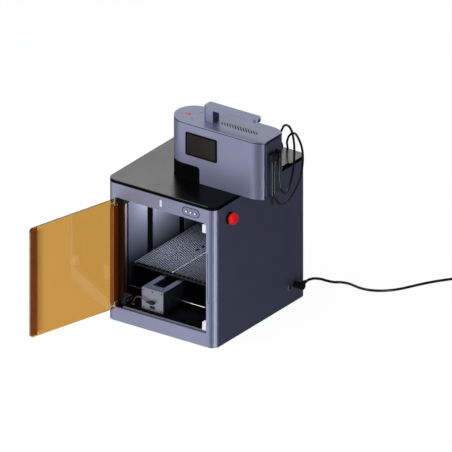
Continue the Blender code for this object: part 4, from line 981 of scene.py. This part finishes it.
def make_hinge_print():
    """The dark band and the dotted brown band by the hinge, on the door's inner face."""
    seat = on_door() @ Matrix(((-1, 0, 0, 0), (0, 0, 1, DOOR_BACK), (0, 1, 0, 0), (0, 0, 0, 1)))
    low = DOOR_LOW + DOOR_NOTCH + PRINT_EDGE
    high = DOOR_HIGH - DOOR_NOTCH - PRINT_EDGE
    left = DOOR_LEFT + SKIN
    inner = left + HINGE_BAND
    bands = (("hinge_print", left, inner, HINGE_INK), ("hinge_band", inner, inner + HINGE_FADE, HINGE_BROWN))
    for name, start, end, ink in bands:
        outline = [(-end, low), (-start, low), (-start, high), (-end, high)]
        single(name, "amber_acrylic", add_prism, outline, SKIN, seat, body="door", material=ink)
    seat = seat @ Matrix.Translation((0, 0, SKIN))
    single("hinge_dots", "amber_acrylic", add_dots, -inner, HINGE_FADE, low, high, (HINGE_DOT, HINGE_DOT),
           seat, body="door", material=HINGE_SPOT)


def make_door_fittings():
    """The pale sawn edge of the door, its brown edge by the hinge and its hinge screws."""
    seat = on_door()
    near = DOOR_FRONT + GAP
    far = DOOR_BACK - GAP
    block_piece("door_edge", "amber_acrylic", (DOOR_RIGHT, near, DOOR_LOW + DOOR_CORNER),
                (DOOR_RIGHT + SKIN, far, DOOR_HIGH - DOOR_CORNER), SKIN / 4, "door", EDGE_AMBER, seat)
    block_piece("door_tail_edge", "amber_acrylic", (DOOR_LEFT - SKIN, near, DOOR_LOW + DOOR_NOTCH),
                (DOOR_LEFT, far, DOOR_HIGH - DOOR_NOTCH), SKIN / 4, "door", SEAL_BROWN, seat)
    pivot = JOINTS["door_swing"]["pos_m"][0]
    spots = [seat @ Vector((pivot + reach, DOOR_BACK, z))
             for z in (DOOR_LOW + HINGE_SCREW_DROP, DOOR_HIGH - HINGE_SCREW_DROP) for reach in HINGE_SCREWS]
    screw_piece("hinge_screws", "steel", spots, seat.to_3x3() @ BACKWARD, HINGE_SCREW, "door")


def make_slide_front():
    """Screws, two sockets, a plug and its thin lead on the slide's front plate."""
    low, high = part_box("slide_end_front")
    middle = (low.x + high.x) / 2
    upper = high.z - PLATE_SCREW_INSET
    spots = [(x, low.y, z) for x in (low.x + PLATE_SCREW_INSET, high.x - PLATE_SCREW_INSET)
             for z in (low.z + PLATE_SCREW_INSET, upper)]
    screw_piece("plate_screws", "dark_alloy", spots + [(middle, low.y, upper)], FORWARD, PLATE_SCREW)
    shape = bmesh.new()
    outer = rounded(*SOCKET, SOCKET_CORNERS[0])
    inner = rounded(SOCKET[0] - SOCKET_RIM, SOCKET[1] - SOCKET_RIM, SOCKET_CORNERS[1])
    for z in SOCKET_Z:
        seat = front_seat(middle - GAP, low.y, z)
        add_ring(shape, outer, inner, SOCKET_DEPTH, seat)
        add_prism(shape, inner, SOCKET_DEPTH / 4, seat)
    piece("plate_sockets", shape, "black_plastic")
    plug_z = SOCKET_Z[0]
    plug_end = Vector((middle - PLUG_WIDTH / 2, low.y - PLUG_DEPTH / 2, plug_z))
    shape = bmesh.new()
    add_block(shape, (middle - PLUG_WIDTH / 2, low.y - PLUG_DEPTH, plug_z - PLUG_HEIGHT / 2),
              (middle + PLUG_WIDTH / 2, low.y - SOCKET_DEPTH, plug_z + PLUG_HEIGHT / 2), PLUG_EDGE)
    add_boot(shape, plug_end, LEFT, THIN_LEAD_RADIUS, SLIDE_BOOT)
    piece("slide_plug", shape, "black_plastic")
    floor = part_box("floor_tray")[1].z
    last = Vector((*THIN_LEAD_END, floor + GROMMET_HEIGHT + GAP))
    points = cable_route(plug_end, LEFT, THIN_LEAD_ROUTE, last, DOWN, THIN_LEAD_RADIUS)
    lead = tube("slide_lead", points, THIN_LEAD_RADIUS, LEAD_OLIVE)
    seat = Matrix.Translation((*THIN_LEAD_END, floor + GAP))
    single("floor_grommet", "black_rubber", add_turned, GROMMET, seat, SCREW_SIDES)


def make_controls():
    """The button panel's groove, the button marks, the marks on the right jamb and the sill's gasket."""
    low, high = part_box("button_panel")
    width, _, height = high - low
    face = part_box("body_shell")[0].y
    outer = rounded(width + 2 * GROOVE, height + 2 * GROOVE, height / 2 + GROOVE - GAP)
    inner = rounded(width, height, height / 2 - GAP)
    seat = front_seat((low.x + high.x) / 2, face, (low.z + high.z) / 2)
    single("panel_groove", "black_plastic", add_ring, outer, inner, SKIN, seat, material=FLOOR_BLACK)
    for name in BUTTONS:
        low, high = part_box(f"button_{name}")
        seat = front_seat((low.x + high.x) / 2, low.y, (low.z + high.z) / 2)
        # Each button's white mark glows: painted light
        single(f"button_mark_{name}", "white_plastic", add_prism, circle(BUTTON_MARK), SKIN, seat,
               body=f"button_{name}", material=BUTTON_PAINTED_GLOW)
    shape = bmesh.new()
    add_block(shape, (JAMB_SLOT_X - JAMB_SLOT / 2, face - SKIN, JAMB_SLOT_LOW),
              (JAMB_SLOT_X + JAMB_SLOT / 2, face, JAMB_SLOT_HIGH), SKIN / 4)
    add_turned(shape, ((0.0, 0.0, 0), (JAMB_DOT, 0.0, 0), (JAMB_DOT, SKIN, 0), (0.0, SKIN, 0)),
               facing((JAMB_DOT_AT[0], face, JAMB_DOT_AT[1]), FORWARD), SMALL_SIDES)
    piece("jamb_slot", shape, "black_plastic")
    block_piece("sill_gasket", "black_rubber", (GASKET_LEFT, face - SKIN, GASKET_LOW),
                (OPENING_HALF, face, GASKET_HIGH), SKIN / 4)


def head_outline(grown):
    """The head's plan, grown outwards: round at the left, two quarter turns to a flat at the right."""
    low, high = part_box("head_cap")
    radius = (high.y - low.y) / 2
    reach = radius + grown
    middle = (low.y + high.y) / 2
    left = low.x + radius
    right = left + HEAD_STRAIGHT
    turn = math.acos(HEAD_FLAT / 2 / radius)
    outline = []
    quarter = math.pi / 2
    arcs = ((quarter, 3 * quarter, left), (-quarter, turn - quarter, right), (quarter - turn, quarter, right))
    for first, last, x in arcs:
        for number in range(SEAM_STEPS + 1):
            angle = first + (last - first) * number / SEAM_STEPS
            outline.append((x + reach * math.cos(angle), middle + reach * math.sin(angle)))
    return outline


def make_vent_shade(low, top):
    """Black blocks that stand in the slots of the cap, below its top: painted shade in the vents."""
    shape = bmesh.new()
    for number in range(VENT_COUNT):
        offset = number - (VENT_COUNT - 1) / 2
        length = VENT_LENGTH * math.sqrt(1 - (offset / (VENT_COUNT / 2 + 1)) ** 2) / 2 - GAP
        place = Matrix.Translation((VENT_X + offset * VENT_PITCH, VENT_Y, 0))
        add_block(shape, (-VENT_WIDTH / 2, -length, low), (VENT_WIDTH / 2, length, top), SKIN,
                  place @ Matrix.Rotation(VENT_TILT, 4, "Z"))
    piece("vent_shade", shape, "black_plastic", material=FLOOR_BLACK)


def make_head_details():
    """The painted shade in the cap's vents, the cap's indicator, plugs and seam, the screen's rim and the end
    plate's screws.
    """
    low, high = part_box("head_cap")
    make_vent_shade(low.z + GAP, high.z - VENT_DROP)
    seat = Matrix.Translation((*INDICATOR_AT, high.z))
    outlines = [rounded(*outline) for outline in INDICATOR_RIM]
    single("indicator_rim", "dark_alloy", add_ring, *outlines, INDICATOR_RIM_HEIGHT, seat)
    single("indicator_lens", "stop_red", add_prism, rounded(*INDICATOR_LENS), INDICATOR_LENS_HEIGHT, seat)
    shape = bmesh.new()
    for spot in CAP_PLUGS:
        add_turned(shape, CAP_PLUG, Matrix.Translation((*spot, high.z)), SCREW_SIDES)
    piece("cap_plugs", shape, "alloy")
    seat = Matrix.Translation((0, 0, low.z - SEAM_DROP))
    single("cap_seam", "black_plastic", add_ring, head_outline(SKIN), head_outline(-SEAM_DROP),
           SEAM_DROP + GAP, seat, material=FLOOR_BLACK)
    low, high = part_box("head_screen")
    width, _, height = high - low
    outer = rounded(width, height, SCREEN_CORNER)
    inner = rounded(width - 2 * SCREEN_RIM, height - 2 * SCREEN_RIM, SCREEN_CORNER / 4)
    seat = front_seat((low.x + high.x) / 2, low.y, (low.z + high.z) / 2)
    single("screen_rim", "black_gloss", add_ring, outer, inner, SCREEN_RIM_DEPTH, seat, material=RIM_BLACK)
    low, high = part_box("head_end_plate")
    in_y, in_z = END_SCREW_INSET
    spots = [(high.x, y, z) for y in (low.y + in_y, high.y - in_y) for z in (low.z + in_z, high.z - in_z)]
    screw_piece("end_plate_screws", "dark_alloy", spots, RIGHT, END_SCREW)


def make_wall_details():
    """A painted highlight along the lid's front edge, small fittings on the right wall and the hinge blocks'
    screws.
    """
    low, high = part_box("lid")
    # A thin grey strip along the lid's front edge: a painted highlight
    block_piece("painted_lid_highlight", "black_gloss", (-LID_EDGE_REACH, low.y - GAP, high.z - LID_EDGE),
                (LID_EDGE_REACH, low.y + LID_EDGE, high.z + GAP), GAP, material=LID_HIGHLIGHT_PAINT)
    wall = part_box("body_shell")[1].x
    screw_piece("wall_screws", "dark_alloy", [(wall, y, z) for y, z in WALL_SCREWS], RIGHT, WALL_SCREW)
    y, z = SWITCH_AT
    for name, slot, near, far, wide, tall, edge in SWITCH:
        block_piece(name, slot, (wall + near, y - wide, z - tall), (wall + far, y + wide, z + tall), edge)
    spots = []
    for name in ("top", "bottom"):
        low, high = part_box(f"hinge_block_{name}")
        spots += [(high.x, high.y - inset, (low.z + high.z) / 2) for inset in BLOCK_SCREWS]
    screw_piece("hinge_block_screws", "steel", spots, RIGHT, BLOCK_SCREW)


def add_wire_ring(shape, radius, centre):
    """A ring of round wire that faces along Y."""
    rows = []
    for x, z in circle(radius, GUARD_SIDES):
        spot = Vector((x, 0, z))
        out = spot.normalized()
        rows.append([shape.verts.new(centre + spot + out * across + BACKWARD * along)
                     for across, along in circle(GUARD_WIRE, WIRE_SIDES)])
    for row, following in zip(rows, rows[1:] + rows[:1]):
        add_band(shape, row, following)


def make_back_details():
    """Flange screws, the back's corner screws and a finger guard over the duct."""
    low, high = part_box("exhaust_collar")
    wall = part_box("body_shell")[1].y
    middle = (low + high) / 2
    ring = (high.x - low.x) / 2 - FLANGE_SCREW_INSET
    angles = [math.pi * (2 * number + 1) / 6 for number in range(6)]
    spots = [(middle.x + ring * math.cos(angle), wall + FLANGE_THICKNESS, middle.z + ring * math.sin(angle))
             for angle in angles]
    screw_piece("flange_screws", "dark_alloy", spots, BACKWARD, FLANGE_SCREW)
    spots = [(x, wall, z) for x in (-BACK_SCREW_X, BACK_SCREW_X) for z in BACK_SCREW_Z]
    screw_piece("back_screws", "dark_alloy", spots, BACKWARD, BACK_SCREW)
    shape = bmesh.new()
    for radius in GUARD_RINGS:
        add_wire_ring(shape, radius, Vector((middle.x, wall + GUARD_DEPTH, middle.z)))
    reach = GUARD_RINGS[-1]
    spoke = ((0.0, 0.0, 0), (GUARD_WIRE, 0.0, 0), (GUARD_WIRE, 2 * reach, 0), (0.0, 2 * reach, 0))
    centre = Vector((middle.x, wall + GUARD_DEPTH - 2 * GUARD_WIRE, middle.z))
    for number in range(3):
        angle = math.pi * number / 3
        heading = Vector((math.cos(angle), 0, math.sin(angle)))
        add_turned(shape, spoke, facing(centre - heading * reach, heading), WIRE_SIDES)
    piece("finger_guard", shape, "steel")


dress_nodes()
make_camera()
make_head_cables()
make_service_lead()
make_power_lead()
make_studio()
make_honeycomb()
make_linings()
make_door_print()
make_hinge_print()
make_door_fittings()
make_slide_front()
make_controls()
make_head_details()
make_wall_details()
make_back_details()

bpy.context.view_layer.update()
